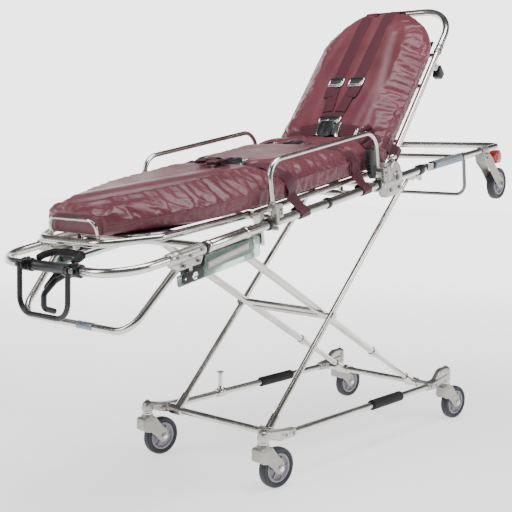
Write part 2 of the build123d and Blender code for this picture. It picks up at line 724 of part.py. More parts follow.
def back_extension():
    """Curved top tube of the backrest in its joint collars."""
    points = [
        (BACK_JOINT, -BACK_V, 0), (BACK_TOP, -BACK_V, 0), (BACK_TOP, BACK_V, 0), (BACK_JOINT, BACK_V, 0),
    ]
    collars = mirrored(
        lambda side: rod_x(side * BACK_V, 0, 29, BACK_JOINT - 16, BACK_JOINT)
        - rod_x(side * BACK_V, 0, BACK_D, BACK_JOINT - 20, BACK_JOINT + 4)
    )
    bars = rod_y(545, 0, 16, -BACK_V, BACK_V)
    return BACK * group(tube(points, 25, 130), collars - bars)


def back_deck():
    """Thin panel that backs the mattress."""
    return BACK * slab([(60, -212), (600, -212), (600, 212), (60, 212)], 11.4, 13.4)


def back_knob():
    """Three-cornered release knob on a plunger under the joint of the near side tube."""
    outline = [(524, -30), (488, -46), (492, -68), (516, -72)]
    grip = plate(outline, -BACK_V - 14, -BACK_V + 14, 6)
    return BACK * (grip + Location((505, -BACK_V, -28)) * Cylinder(5, 20))


def strut_line():
    """Litter points of the strut's lower pivot and its upper lug."""
    x, z = in_plane(BACK, *STRUT_HEAD)
    return STRUT_FOOT, in_litter(x, z)


def strut_bar(start, end, diameter):
    """Round bar along the strut between two distances from its lower pivot."""
    foot, head = strut_line()
    (u0, w0), (u1, w1) = along(foot, head, start), along(foot, head, end)
    return bar([(u0, 0, w0), (u1, 0, w1)], diameter)


def strut_cylinder():
    """Gas strut cylinder that turns on the litter's strut rod."""
    body = strut_bar(14, 14 + CYLINDER_LENGTH, 24) - strut_bar(30, 20 + CYLINDER_LENGTH, 10 + 2 * FIT)
    return LITTER * (body + rod_y(*STRUT_FOOT, 28, -12, 12) - rod_y(*STRUT_FOOT, 16 + 2 * FIT, -20, 20))


def strut_rod():
    """Gas strut rod with the fork that straddles the backrest's lug."""
    foot, head = strut_line()
    length = math.dist(foot, head)
    rod = strut_bar(length - ROD_LENGTH, length - 46, 10)
    body = rod + strut_bar(length - 48, length - 38, 20)
    end = strut_bar(length - 40, length + 4, 20)
    fork = [end & block((0, 2000), (y, y + 3), (-500, 900)) for y in (5, -8)]
    return LITTER * (body + fork[0] + fork[1])


# Drop frame at the head end


def drop_tubes():
    """Side tubes and head bar of the drop frame with a cross tube, hinge lugs and plastic sleeves."""
    ends = [(24, -RAIL_V, 0), (DROP_LENGTH, -RAIL_V, 0), (DROP_LENGTH, RAIL_V, 0), (24, RAIL_V, 0)]
    joint = DROP_LENGTH - 46
    points = [(joint, -RAIL_V, 0), *ends[1:3], (joint, RAIL_V, 0)]
    frame = [tube([(24, side * RAIL_V, 0), (joint, side * RAIL_V, 0)], DROP_D) for side in SIDES]
    frame.append(tube(points, DROP_D, 34))
    filled = bar(ends, DROP_D, 34)
    pieces = (tube([(257, -RAIL_V, 0), (257, RAIL_V, 0)], 19) - filled).solids()
    cross = max(pieces, key=lambda solid: solid.volume)
    lugs = [
        plate([(-8, -13), (24, -13), (24, 13), (-8, 13), (-15, 5), (-15, -5)], side * 265.3, side * 278.5)
        - rod_y(0, 0, 10 + 2 * FIT, side * 250, side * 290)
        for side in SIDES
    ]
    plugs = [rod_x(side * RAIL_V, 0, DROP_D - 2 * WALL, 24, 40) for side in SIDES]
    pins = [rod_y(BAIL_HINGE_X, 0, 8, side * 254, side * 236) - filled for side in SIDES]
    sleeves = [
        rod_x(side * RAIL_V, 0, 31, 44, 246) - rod_x(side * RAIL_V, 0, DROP_D, 40, 250) for side in SIDES
    ]
    return DROP * group(*frame, cross, *lugs, *plugs, *pins, *sleeves)


def load_forks():
    """Forks of the load wheels with their axles."""
    x, z = LOAD_AXLE
    inner, outer = WHEEL_WIDTH / 2 + 2, WHEEL_WIDTH / 2 + 6
    outline = [
        (x - 138, -16), (x - 92, -16), (x - 62, -44), (x + 16, z + 14), (x + 20, z - 4), (x + 6, z - 18),
        (x - 16, z - 14), (x - 92, -78), (x - 130, -44),
    ]

    def fork(side):
        y = side * RAIL_V
        shape = plate(outline, y - outer, y - inner, 4) + plate(outline, y + inner, y + outer, 4)
        shape += block((x - 134, x - 88), (y - outer, y + outer), (-40, -8))
        shape += rod_y(x, z, 2 * AXLE_R, y - outer, y + outer)
        for end in SIDES:
            shape += rod_y(x, z, 18, y + end * outer, y + end * (outer + 5))
        return DROP * (shape - rod_x(y, 0, DROP_D, x - 150, x + 20))

    return mirrored(fork)


def head_bail():
    """Hanging safety bail under the drop frame."""
    x, drop, half = BAIL_HINGE_X, HEAD_BAIL_DROP, HEAD_BAIL_V
    bow = bar([(x, -half, 9), (x, -half, -drop), (x, half, -drop), (x, half, 9)], 13, 40)
    return DROP * (bow - rod_y(x, 0, 8 + 2 * FIT, -260, 260))


def corner_bumpers():
    """Red corner pieces under the head bar."""
    outline = [(538, -38), (566, -74), (604, -74), (614, -34), (598, -18), (566, -20)]
    points = [(24, -RAIL_V, 0), (DROP_LENGTH, -RAIL_V, 0), (DROP_LENGTH, RAIL_V, 0), (24, RAIL_V, 0)]
    filled = bar(points, DROP_D, 34)
    return DROP * mirrored(lambda side: plate(outline, side * 224, side * 262, 5) - filled)


def load_wheels():
    """Tyre and hub of each load wheel."""
    parts = {}
    for name, side in (("right", -1), ("left", 1)):
        tyre, hub = wheel(LOAD_AXLE[0], side * RAIL_V, LOAD_AXLE[1])
        parts[f"load_tyre_{name}"] = DROP * tyre
        parts[f"load_hub_{name}"] = DROP * hub
    return parts


# Side arms


def side_arm(side):
    """Fold-down arm with its pivot blocks and the lug for its release lever."""
    y, pivot_y = side * ARM_HOOP_V, side * ARM_V
    points = [(ARM_FRONT, y, 46), (ARM_FRONT, y, ARM_TOP), (ARM_REAR, y, ARM_TOP), (ARM_REAR, y, 46)]
    arm = bar(points, ARM_D, 60)
    for u in (ARM_FRONT, ARM_REAR):
        arm += block((u - 10, u + 10), (side * 252, side * 295), (42, 56))
        arm += block((u - 10, u + 10), (side * 279, side * 295), (ARM_W - 12, 56))
    arm += block((ARM_REAR - 30, ARM_REAR - 4), (y - 3, y + 3), (112, 124))
    arm += rod_y(ARM_REAR - 26, 118, 6, y - 10, y + 10)
    return LITTER * (arm - rod_x(pivot_y, ARM_W, 8 + 2 * FIT, -40, 640))


def arm_lever(side):
    """Black squeeze lever that releases a side arm."""
    y = side * ARM_HOOP_V
    u = ARM_REAR - 26
    outline = [(u - 26, 126), (u + 8, 126), (u + 10, 100), (u + 2, 30), (u - 16, 26), (u - 26, 60)]
    lever = plate(outline, y - 11, y + 11, 4)
    lever -= block((u - 40, u + 40), (y - 3.3, y + 3.3), (102, 140))
    return LITTER * (lever - rod_y(u, 118, 6 + 2 * FIT, y - 20, y + 20))


def build_parts():
    """Every sub-part by node name."""
    parts = {
        "base_tubes": base_tubes(),
        "corner_castings": corner_castings(),
        "foam_sleeves": foam_sleeves(),
        "lock_post": lock_post(),
        "outer_legs": outer_legs(),
        "inner_legs_lower": inner_legs_lower(),
        "inner_legs_upper": inner_legs_upper(),
        "lift_carriage": lift_carriage(),
        "litter_tubes": litter_tubes(),
        "handle_frame": handle_frame(),
        "lower_bail": lower_bail(),
        "foot_castings": foot_castings(),
        "rail_collars": rail_collars(),
        "arm_mounts": arm_mounts(),
        "lock_housings": lock_housings(),
        "guard_panels": guard_panels(),
        "seat_deck": seat_deck(),
        "foot_controls": foot_controls(),
        "control_mount": control_mount(),
        "control_handle": control_handle(),
        "trigger": trigger(),
        "lift_loop": lift_loop(),
        "seat_mattress": seat_mattress(),
        "lap_belt": lap_belt(),
        "foot_frame": foot_frame(),
        "foot_deck": foot_deck(),
        "foot_mattress": foot_mattress(),
        "foot_prop": foot_prop(),
        "back_frame": back_frame(),
        "back_extension": back_extension(),
        "back_deck": back_deck(),
        "back_mattress": back_mattress(),
        "harness": harness(),
        "back_knob": back_knob(),
        "strut_cylinder": strut_cylinder(),
        "strut_rod": strut_rod(),
        "drop_tubes": drop_tubes(),
        "load_forks": load_forks(),
        "head_bail": head_bail(),
        "corner_bumpers": corner_bumpers(),
        "side_arm_right": side_arm(-1),
        "side_arm_left": side_arm(1),
        "arm_lever_right": arm_lever(-1),
        "arm_lever_left": arm_lever(1),
    }
    return parts | casters() | load_wheels()


def main():
    """Write each sub-part to its own STEP file."""
    os.makedirs("parts", exist_ok=True)
    for name, part in build_parts().items():
        export_step(part, f"parts/{name}.step")


if __name__ == "__main__":
    main()
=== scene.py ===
"""Ambulance stretcher trolley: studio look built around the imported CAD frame.

Lengths in the local frames are millimetres; matrices turn them into the row frame's metres.
"""
import json
import math
import bmesh
import bpy
import numpy as np
from mathutils import Matrix, Vector
from mathutils.bvhtree import BVHTree

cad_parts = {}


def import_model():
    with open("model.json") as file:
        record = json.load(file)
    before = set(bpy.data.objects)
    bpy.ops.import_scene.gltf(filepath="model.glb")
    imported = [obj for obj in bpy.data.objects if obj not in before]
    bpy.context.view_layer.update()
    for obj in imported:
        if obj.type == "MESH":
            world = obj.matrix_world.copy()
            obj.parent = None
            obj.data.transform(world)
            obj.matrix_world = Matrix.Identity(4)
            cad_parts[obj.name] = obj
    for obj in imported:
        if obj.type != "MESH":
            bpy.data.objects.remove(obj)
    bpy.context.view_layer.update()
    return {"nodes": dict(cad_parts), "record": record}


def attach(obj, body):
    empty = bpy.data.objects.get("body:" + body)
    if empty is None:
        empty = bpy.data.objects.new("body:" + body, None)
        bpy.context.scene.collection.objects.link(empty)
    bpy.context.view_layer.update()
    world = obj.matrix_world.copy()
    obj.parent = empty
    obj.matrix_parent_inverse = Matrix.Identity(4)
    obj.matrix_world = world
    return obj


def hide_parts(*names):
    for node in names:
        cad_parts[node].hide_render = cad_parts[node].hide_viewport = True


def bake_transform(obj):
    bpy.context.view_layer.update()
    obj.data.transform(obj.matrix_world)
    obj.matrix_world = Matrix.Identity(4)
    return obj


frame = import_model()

MM = 0.001
SIDES = (-1, 1)
TAG = {-1: "right", 1: "left"}
ALONG, ACROSS, UP = (1, 0, 0), (0, 1, 0), (0, 0, 1)


# ---------------------------------------------------------------- local frames
def at(x, z, angle=0.0):
    """Frame at a centre-plane point in millimetres, pitched so that its +X end rises."""
    return Matrix.Translation((x * MM, 0, z * MM)) @ Matrix.Rotation(-angle, 4, "Y")


def deg(value):
    return math.radians(value)


# Litter coordinates: u along the rails to the head, v across, w off the rails' plane
STEM_X, STEM_Y, BASE_Z = {"foot": -440, "head": 680}, 250, 155
RAIL_V = 265
FOOT_U, FOOT_SLOPE = -40, 0.0506
HINGE_U, HINGE_W, BACK_ANGLE = 668, 10, deg(43.4)

BASE = Matrix.Identity(4)
TILT = math.atan(0.1869)
LITTER = at(STEM_X["foot"], 816.7, TILT)
FOOT = LITTER @ at(FOOT_U, 32, deg(-2.9))
BACK = LITTER @ at(HINGE_U, HINGE_W, BACK_ANGLE)
DROP = LITTER @ at(905, 0, deg(-1.8))
LOOP = LITTER @ at(-610, 3, -TILT)


def world(place, x, y, z):
    """Row-frame point of a local millimetre point."""
    return place @ Vector((x * MM, y * MM, z * MM))


# ---------------------------------------------------------------- mesh building
def rounded(points, bend):
    """Points of a polyline whose corners are arcs of the bend radius."""
    pts = [Vector(p) for p in points]
    out = [pts[0]]
    for before, corner, after in zip(pts, pts[1:], pts[2:]):
        a, b = (before - corner).normalized(), (after - corner).normalized()
        turn = math.pi - a.angle(b)
        if turn < 1e-3 or bend <= 0:
            out.append(corner)
            continue
        shorter = min((before - corner).length, (after - corner).length)
        reach = min(bend * math.tan(turn / 2), 0.49 * shorter)
        radius = reach / math.tan(turn / 2)
        centre = corner + (a + b).normalized() * (radius / math.cos(turn / 2))
        start, end = corner + a * reach - centre, corner + b * reach - centre
        steps = max(3, round(math.degrees(turn) / 7))
        axis = start.cross(end).normalized()
        for k in range(steps + 1):
            out.append(centre + Matrix.Rotation(turn * k / steps, 3, axis) @ start)
    out.append(pts[-1])
    return out


def transport(path):
    """Tangent, normal and side vectors along a path, without twist."""
    tangents = []
    for k in range(len(path)):
        step = path[min(k + 1, len(path) - 1)] - path[max(k - 1, 0)]
        tangents.append(step.normalized())
    first = tangents[0]
    up = Vector((0, 0, 1)) if abs(first.z) < 0.9 else Vector((1, 0, 0))
    normal = (up - first * up.dot(first)).normalized()
    rows = []
    for tangent in tangents:
        normal = (normal - tangent * normal.dot(tangent)).normalized()
        rows.append((tangent, normal, tangent.cross(normal)))
    return rows


def smooth_shaded(mesh):
    mesh.polygons.foreach_set("use_smooth", [True] * len(mesh.polygons))


class Shape:
    """Collects closed shells in one local frame, in millimetres."""

    def __init__(self, place=BASE):
        self.place = place
        self.bm = bmesh.new()

    def take(self, piece, bevel=0.0, segments=2):
        """Moves a shell into this shape, with its edges bevelled where they turn by over 30 degrees."""
        if bevel > 0:
            limit = deg(30)
            edges = [e for e in piece.edges if len(e.link_faces) == 2 and e.calc_face_angle(0) > limit]
            bmesh.ops.bevel(piece, geom=edges, offset=bevel, segments=segments, profile=0.6,
                            affect="EDGES", clamp_overlap=True)
        mesh = bpy.data.meshes.new("scratch")
        piece.to_mesh(mesh)
        piece.free()
        self.bm.from_mesh(mesh)
        bpy.data.meshes.remove(mesh)
        return self

    def tube(self, points, diameter, bend=0, sides=24, ends=1.0):
        """Round bar along a bent path with softened ends."""
        path = rounded(points, bend) if bend else [Vector(p) for p in points]
        piece = bmesh.new()
        rows = []
        r, dirs, last = diameter / 2, transport(path), len(path) - 1
        spots = [(point, k, r) for k, point in enumerate(path)]
        spots[0] = (path[0] + dirs[0][0] * ends, 0, r)
        spots[-1] = (path[-1] - dirs[-1][0] * ends, last, r)
        for point, k, radius in ((path[0], 0, r - ends), *spots, (path[-1], last, r - ends)):
            _, n, s = dirs[k]
            row = []
            for j in range(sides):
                t = math.tau * j / sides
                row.append(piece.verts.new(point + (n * math.cos(t) + s * math.sin(t)) * radius))
            rows.append(row)
        for low, high in zip(rows, rows[1:]):
            for j in range(sides):
                piece.faces.new((low[j], low[(j + 1) % sides], high[(j + 1) % sides], high[j]))
        piece.faces.new(rows[0][::-1])
        piece.faces.new(rows[-1])
        bmesh.ops.recalc_face_normals(piece, faces=piece.faces)
        return self.take(piece)

    def lathe(self, origin, axis, profile, steps=40):
        """Profile of (radius, height) pairs turned around an axis."""
        piece = bmesh.new()
        axis = Vector(axis).normalized()
        origin = Vector(origin)
        seed = Vector((0, 0, 1)) if abs(axis.z) < 0.9 else Vector((1, 0, 0))
        a = (seed - axis * seed.dot(axis)).normalized()
        b = axis.cross(a)
        rows = []
        for radius, height in profile:
            foot = origin + axis * height
            if radius <= 1e-6:
                rows.append([piece.verts.new(foot)])
                continue
            turns = [math.tau * j / steps for j in range(steps)]
            rows.append([piece.verts.new(foot + (a * math.cos(t) + b * math.sin(t)) * radius) for t in turns])
        closed = profile[0] == profile[-1]
        if closed:
            for v in rows[-1]:
                piece.verts.remove(v)
            rows[-1] = rows[0]
        for low, high in zip(rows, rows[1:]):
            for j in range(steps):
                k = (j + 1) % steps
                ring = [low[j % len(low)], low[k % len(low)], high[k % len(high)], high[j % len(high)]]
                unique = list(dict.fromkeys(ring))
                if len(unique) > 2:
                    piece.faces.new(unique)
        if not closed:
            for row in (rows[0], rows[-1]):
                if len(row) > 2:
                    piece.faces.new(row)
        bmesh.ops.recalc_face_normals(piece, faces=piece.faces)
        return self.take(piece)

    def collar(self, origin, axis, inner, outer, length, soft=1.5, steps=40):
        """Ring with softened edges, centred on origin."""
        h, s = length / 2, soft
        profile = [
            (inner, -h), (outer - s, -h), (outer - 0.3 * s, -h + 0.3 * s), (outer, -h + s), (outer, h - s),
            (outer - 0.3 * s, h - 0.3 * s), (outer - s, h), (inner, h), (inner, -h),
        ]
        return self.lathe(origin, axis, profile, steps)

    def knob(self, origin, axis, radius, length, soft=1.5, steps=28):
        """Solid short cylinder with softened edges that starts at origin."""
        s = min(soft, radius * 0.8, length * 0.45)
        profile = [
            (0, 0), (radius - s, 0), (radius - 0.3 * s, 0.3 * s), (radius, s), (radius, length - s),
            (radius - 0.3 * s, length - 0.3 * s), (radius - s, length), (0, length),
        ]
        return self.lathe(origin, axis, profile, steps)

    def bolt(self, origin, axis, radius=6.5, height=4.5, sides=6):
        """Hexagon head on a washer."""
        self.knob(origin, axis, radius * 1.35, 1.4, 0.5, 24)
        start = Vector(origin) + Vector(axis).normalized() * 1.4
        s = 0.9
        head = [(0, 0), (radius, 0), (radius, height - s), (radius - s, height), (0, height)]
        return self.lathe(start, axis, head, sides)

    def prism(self, outline, low, high, bevel=2.0, segments=3, plane="XZ"):
        """Plate with an outline in one plane and a thickness along the third axis."""
        piece = bmesh.new()
        rows = []
        for level in (low, high):
            row = []
            for a, b in outline:
                row.append(piece.verts.new((a, level, b) if plane == "XZ" else (a, b, level)))
            rows.append(row)
        count = len(outline)
        for j in range(count):
            k = (j + 1) % count
            piece.faces.new((rows[0][j], rows[0][k], rows[1][k], rows[1][j]))
        piece.faces.new(rows[0][::-1])
        piece.faces.new(rows[1])
        bmesh.ops.recalc_face_normals(piece, faces=piece.faces)
        return self.take(piece, bevel, segments)

    def box(self, x, y, z, bevel=1.5, segments=2):
        """Block between two values of each coordinate."""
        outline = [(x[0], z[0]), (x[1], z[0]), (x[1], z[1]), (x[0], z[1])]
        return self.prism(outline, min(y), max(y), bevel, segments)

    def ribbon(self, path, ups, width, thick=1.8, cols=7):
        """Flat strap along a path; ups are the outward directions, and UVs run along and across it."""
        layer = self.bm.loops.layers.uv.get("strap") or self.bm.loops.layers.uv.new("strap")
        count = len(path)
        rows, lengths, length = [], [], 0.0
        for k, point in enumerate(path):
            if k:
                length += (Vector(point) - Vector(path[k - 1])).length
            lengths.append(length)
            tangent = (Vector(path[min(k + 1, count - 1)]) - Vector(path[max(k - 1, 0)])).normalized()
            up = Vector(ups[k])
            up = (up - tangent * up.dot(tangent)).normalized()
            across = tangent.cross(up)
            top, bottom = [], []
            for j in range(cols):
                t = j / (cols - 1) - 0.5
                edge = 0.5 * thick * (1 - (2 * abs(t)) ** 6 * 0.75)
                spot = Vector(point) + across * (t * width)
                top.append(self.bm.verts.new(spot + up * (thick / 2 + edge)))
                bottom.append(self.bm.verts.new(spot + up * (thick / 2 - edge)))
            rows.append((top, bottom))

        def face(verts, uvs):
            made = self.bm.faces.new(verts)
            for loop, uv in zip(made.loops, uvs):
                loop[layer].uv = uv

        for k in range(count - 1):
            (t0, b0), (t1, b1) = rows[k], rows[k + 1]
            l0, l1 = lengths[k] * MM, lengths[k + 1] * MM
            for j in range(cols - 1):
                u0, u1 = j / (cols - 1), (j + 1) / (cols - 1)
                face((t0[j], t0[j + 1], t1[j + 1], t1[j]), ((l0, u0), (l0, u1), (l1, u1), (l1, u0)))
                face((b0[j], b1[j], b1[j + 1], b0[j + 1]), ((l0, u0), (l1, u0), (l1, u1), (l0, u1)))
            face((t0[0], t1[0], b1[0], b0[0]), ((l0, 0), (l1, 0), (l1, 0), (l0, 0)))
            face((t0[-1], b0[-1], b1[-1], t1[-1]), ((l0, 1), (l0, 1), (l1, 1), (l1, 1)))
        for top, bottom in (rows[0], rows[-1]):
            ring = top + bottom[::-1]
            face(ring, [(0, 0)] * len(ring))
        return self

    def object(self, name, material, sharp=35):
        """Finished object in the row frame, shaded smooth below the sharp angle."""
        bmesh.ops.recalc_face_normals(self.bm, faces=self.bm.faces)
        mesh = bpy.data.meshes.new(name)
        self.bm.to_mesh(mesh)
        self.bm.free()
        mesh.transform(self.place @ Matrix.Scale(MM, 4))
        mesh.materials.append(material)
        smooth_shaded(mesh)
        mesh.set_sharp_from_angle(angle=deg(sharp))
        obj = bpy.data.objects.new(name, mesh)
        bpy.context.scene.collection.objects.link(obj)
        return obj


def placed(obj, body, nodes):
    """Makes an object ride on a body and hides the CAD nodes that it stands for."""
    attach(obj, body)
    if nodes:
        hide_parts(*nodes)
    return obj


def piece(shape, name, material, body, slot, *nodes, sharp=35):
    """Finished piece made from a shape as it is."""
    return placed(shape.object(name, material, sharp), body, nodes)


def applied(obj):
    """Bakes an object's modifiers into its mesh."""
    graph = bpy.context.evaluated_depsgraph_get()
    mesh = bpy.data.meshes.new_from_object(obj.evaluated_get(graph))
    old = obj.data
    obj.modifiers.clear()
    obj.data = mesh
    bpy.data.meshes.remove(old)
    return obj


def cast_piece(shape, name, material, body, slot, *nodes, voxel=1.6, smooth=4):
    """Melts overlapping shells into one casting with soft fillets."""
    obj = shape.object(name, material)
    melt = obj.modifiers.new("melt", "REMESH")
    melt.mode = "VOXEL"
    melt.voxel_size = voxel * MM
    melt.use_smooth_shade = True
    ease = obj.modifiers.new("ease", "SMOOTH")
    ease.iterations = smooth
    ease.factor = 0.6
    thin = obj.modifiers.new("thin", "DECIMATE")
    thin.ratio = 0.35
    applied(obj)
    smooth_shaded(obj.data)
    return placed(obj, body, nodes)


# ---------------------------------------------------------------- materials
class Nodes:
    """Short-hand for one procedural material."""

    def __init__(self, name):
        self.mat = bpy.data.materials.new(name)
        self.mat.use_nodes = True
        self.tree = self.mat.node_tree
        self.shader = self.tree.nodes["Principled BSDF"]
        self.coords = self.add("ShaderNodeTexCoord")

    def add(self, kind, **settings):
        node = self.tree.nodes.new(kind)
        for key, value in settings.items():
            setattr(node, key, value)
        return node

    def link(self, a, b):
        self.tree.links.new(a, b)

    def set(self, **values):
        for key, value in values.items():
            self.shader.inputs[key.replace("_", " ")].default_value = value
        return self

    def scaled(self, scale):
        """Object coordinates times one number or one per axis."""
        node = self.add("ShaderNodeMapping")
        node.inputs["Scale"].default_value = scale if hasattr(scale, "__len__") else (scale,) * 3
        self.link(self.coords.outputs["Object"], node.inputs["Vector"])
        return node.outputs["Vector"]

    def noise(self, scale, detail=3.0, rough=0.55, distortion=0.0):
        node = self.add("ShaderNodeTexNoise")
        node.inputs["Scale"].default_value = 1.0
        node.inputs["Detail"].default_value = detail
        node.inputs["Roughness"].default_value = rough
        node.inputs["Distortion"].default_value = distortion
        self.link(self.scaled(scale), node.inputs["Vector"])
        return node.outputs["Fac"]

    def ramp(self, value, low, high, a, b):
        """Maps a range of a value onto a range of numbers or colours."""
        if hasattr(a, "__len__"):
            node = self.add("ShaderNodeValToRGB")
            for stop, position, colour in zip(node.color_ramp.elements, (low, high), (a, b)):
                stop.position = position
                stop.color = (*colour, 1)
            self.link(value, node.inputs["Fac"])
            return node.outputs["Color"]
        node = self.add("ShaderNodeMapRange")
        for key, number in (("From Min", low), ("From Max", high), ("To Min", a), ("To Max", b)):
            node.inputs[key].default_value = number
        self.link(value, node.inputs["Value"])
        return node.outputs["Result"]

    def math(self, kind, a, b=0):
        node = self.add("ShaderNodeMath", operation=kind)
        for k, value in enumerate((a, b)):
            if isinstance(value, (int, float)):
                node.inputs[k].default_value = value
            else:
                self.link(value, node.inputs[k])
        return node.outputs[0]

    def bump(self, *layers):
        """Chains (height, strength, distance in mm) bumps into the shader's normal."""
        last = None
        for height, strength, distance in layers:
            node = self.add("ShaderNodeBump")
            node.inputs["Strength"].default_value = strength
            node.inputs["Distance"].default_value = distance * MM
            self.link(height, node.inputs["Height"])
            if last:
                self.link(last, node.inputs["Normal"])
            last = node.outputs["Normal"]
        self.link(last, self.shader.inputs["Normal"])
        return self

    def wire(self, value, name):
        self.link(value, self.shader.inputs[name])
        return self


def metal(name, dark, light, rough, grain, bump, spread=0.08, metallic=1.0):
    """Metal with drifting tone, uneven polish and fine surface grain."""
    n = Nodes(name).set(Metallic=metallic)
    drift = n.noise(9, 4, 0.6, 0.4)
    fine = n.noise(grain, 3)
    mixed = n.math("ADD", n.math("MULTIPLY", drift, 0.7), n.math("MULTIPLY", fine, 0.3))
    n.wire(n.ramp(mixed, 0.35, 0.68, dark, light), "Base Color")
    n.wire(n.ramp(mixed, 0.3, 0.7, rough - spread / 2, rough + spread), "Roughness")
    return n.bump((fine, bump, 0.12)).mat


def plastic(name, dark, light, rough, grain=900, bump=0.25, depth=0.15, metallic=0.0, coat=0.0):
    """Moulded plastic or rubber with grain and scuffing."""
    n = Nodes(name).set(Metallic=metallic, Coat_Weight=coat)
    cloud = n.noise(14, 4, 0.6)
    fine = n.noise(grain, 2)
    n.wire(n.ramp(cloud, 0.3, 0.72, dark, light), "Base Color")
    n.wire(n.ramp(cloud, 0.3, 0.7, rough - 0.07, rough + 0.09), "Roughness")
    return n.bump((fine, bump, depth)).mat


def vinyl_material():
    """Soft coated cover: pebbled grain, small creases, uneven sheen and colour."""
    n = Nodes("vinyl").set(Sheen_Weight=0.06, Sheen_Roughness=0.35, Specular_IOR_Level=0.42)
    n.shader.inputs["Sheen Tint"].default_value = (0.9, 0.62, 0.64, 1)
    cloud = n.noise(5.5, 5, 0.6, 0.6)
    n.wire(n.ramp(cloud, 0.3, 0.72, (0.116, 0.0275, 0.0385), (0.17, 0.047, 0.062)), "Base Color")
    n.wire(n.ramp(n.noise(11, 4), 0.3, 0.7, 0.3, 0.44), "Roughness")
    cells = n.add("ShaderNodeTexVoronoi", feature="SMOOTH_F1")
    cells.inputs["Scale"].default_value = 1.0
    n.link(n.scaled(850), cells.inputs["Vector"])
    creases = n.noise((34, 34, 60), 5, 0.62, 1.2)
    return n.bump((creases, 0.32, 2.2), (cells.outputs["Distance"], 0.2, 0.12)).mat


def webbing_material(name, dark, light):
    """Woven strap: ribs across and raised cords along its length, with painted shade in the grooves between
    the cords and along both edges.
    """
    n = Nodes(name).set(Sheen_Weight=0.12, Sheen_Roughness=0.5, Specular_IOR_Level=0.3, Roughness=0.55)
    split = n.add("ShaderNodeSeparateXYZ")
    n.link(n.coords.outputs["UV"], split.inputs[0])
    along, across = split.outputs["X"], split.outputs["Y"]
    cords = n.math("ABSOLUTE", n.math("SINE", n.math("MULTIPLY", across, math.pi * 5)))
    weave = n.math("SINE", n.math("MULTIPLY", along, 2600))
    thread = n.math("SINE", n.math("MULTIPLY", across, 150))
    mesh = n.math("MULTIPLY", weave, thread)
    # Painted shade: the colour darkens where the cord relief is low, in the grooves between cords and along
    # the strap's edges.
    ribs = n.math("MULTIPLY", n.ramp(cords, 0.0, 0.5, 0.0, 1.0), 0.75)
    tone = n.math("ADD", ribs, n.math("MULTIPLY", n.noise(60, 3), 0.35))
    n.wire(n.ramp(tone, 0.1, 1.0, dark, light), "Base Color")
    return n.bump((cords, 0.6, 0.5), (mesh, 0.35, 0.25)).mat


ALU = metal("polished_tube", (0.56, 0.54, 0.51), (0.78, 0.76, 0.73), 0.17, 420, 0.05)
CAST = metal("cast_alloy", (0.4, 0.385, 0.36), (0.6, 0.58, 0.55), 0.34, 900, 0.3, 0.12)
CREAM = metal("painted_cast", (0.33, 0.315, 0.285), (0.47, 0.45, 0.415), 0.36, 700, 0.2, 0.1, 0.6)
STEEL = metal("dark_steel", (0.16, 0.15, 0.145), (0.27, 0.26, 0.25), 0.32, 600, 0.15)
CHROME = metal("chrome", (0.74, 0.75, 0.76), (0.88, 0.89, 0.9), 0.1, 500, 0.03, 0.05)
BLACK = plastic("black_plastic", (0.0045, 0.0048, 0.0058), (0.012, 0.0125, 0.0145), 0.36)
FOAM = plastic("black_foam", (0.005, 0.005, 0.006), (0.014, 0.014, 0.016), 0.8, 520, 0.8, 0.5)
TYRE = plastic("tyre_rubber", (0.012, 0.014, 0.019), (0.03, 0.034, 0.043), 0.55, 700, 0.35, 0.2)
HUB = plastic("hub_plastic", (0.22, 0.21, 0.24), (0.34, 0.325, 0.37), 0.42, 800, 0.2, 0.1)
RED = plastic("red_plastic", (0.33, 0.005, 0.007), (0.5, 0.012, 0.012), 0.26, 500, 0.1, 0.1, coat=0.4)
RIBBED = plastic("ribbed_sleeve", (0.17, 0.215, 0.26), (0.3, 0.345, 0.39), 0.3, 600, 0.15, 0.1, metallic=0.35)
WHITE = plastic("pale_plate", (0.42, 0.44, 0.43), (0.56, 0.58, 0.56), 0.35, 400, 0.1, 0.1)
VINYL = vinyl_material()
WEBBING = webbing_material("maroon_webbing", (0.032, 0.0025, 0.0078), (0.074, 0.008, 0.0198))


def guard_material():
    """Clear green sheet with faint scratches."""
    n = Nodes("green_sheet").set(Transmission_Weight=0.8, IOR=1.45)
    n.wire(n.ramp(n.noise(12, 3), 0.3, 0.7, (0.42, 0.62, 0.53), (0.55, 0.74, 0.65)), "Base Color")
    n.wire(n.ramp(n.noise((30, 30, 400), 4), 0.35, 0.7, 0.06, 0.18), "Roughness")
    return n.bump((n.noise(260, 3), 0.08, 0.1)).mat


GREEN = guard_material()

SLOT_MATERIALS = {
    "satin_tube": ALU, "cast_alloy": CAST, "steel_pin": STEEL, "black_foam": FOAM, "black_plastic": BLACK,
    "hub_plastic": HUB, "tyre": TYRE, "green_panel": GREEN, "red_plastic": RED, "vinyl": VINYL,
    "webbing": WEBBING,
}
for part in frame["record"]["subparts"]:
    node = frame["nodes"][part["node"]]
    node.data.materials.clear()
    node.data.materials.append(SLOT_MATERIALS[part["material_slot"]])
    node.data.polygons.foreach_set("material_index", [0] * len(node.data.polygons))


# ---------------------------------------------------------------- mattress
COVER_HALF, COVER_LOW, COVER_HIGH = 238, 46, 146
BACK_SEAM, LOWER_SEAM = 55, 97
VOXEL, QUICK_VOXEL = 0.0068, 0.011
CLOTH_FRAMES = 20
CLOTH = {
    "quality": 6, "mass": 0.25, "tension_stiffness": 14, "compression_stiffness": 14, "shear_stiffness": 6,
    "bending_stiffness": 0.35, "tension_damping": 6, "use_pressure": True, "uniform_pressure_force": 3.5,
    "shrink_min": -0.05, "shrink_max": -0.05, "vertex_group_mass": "hold", "pin_stiffness": 0.8,
}


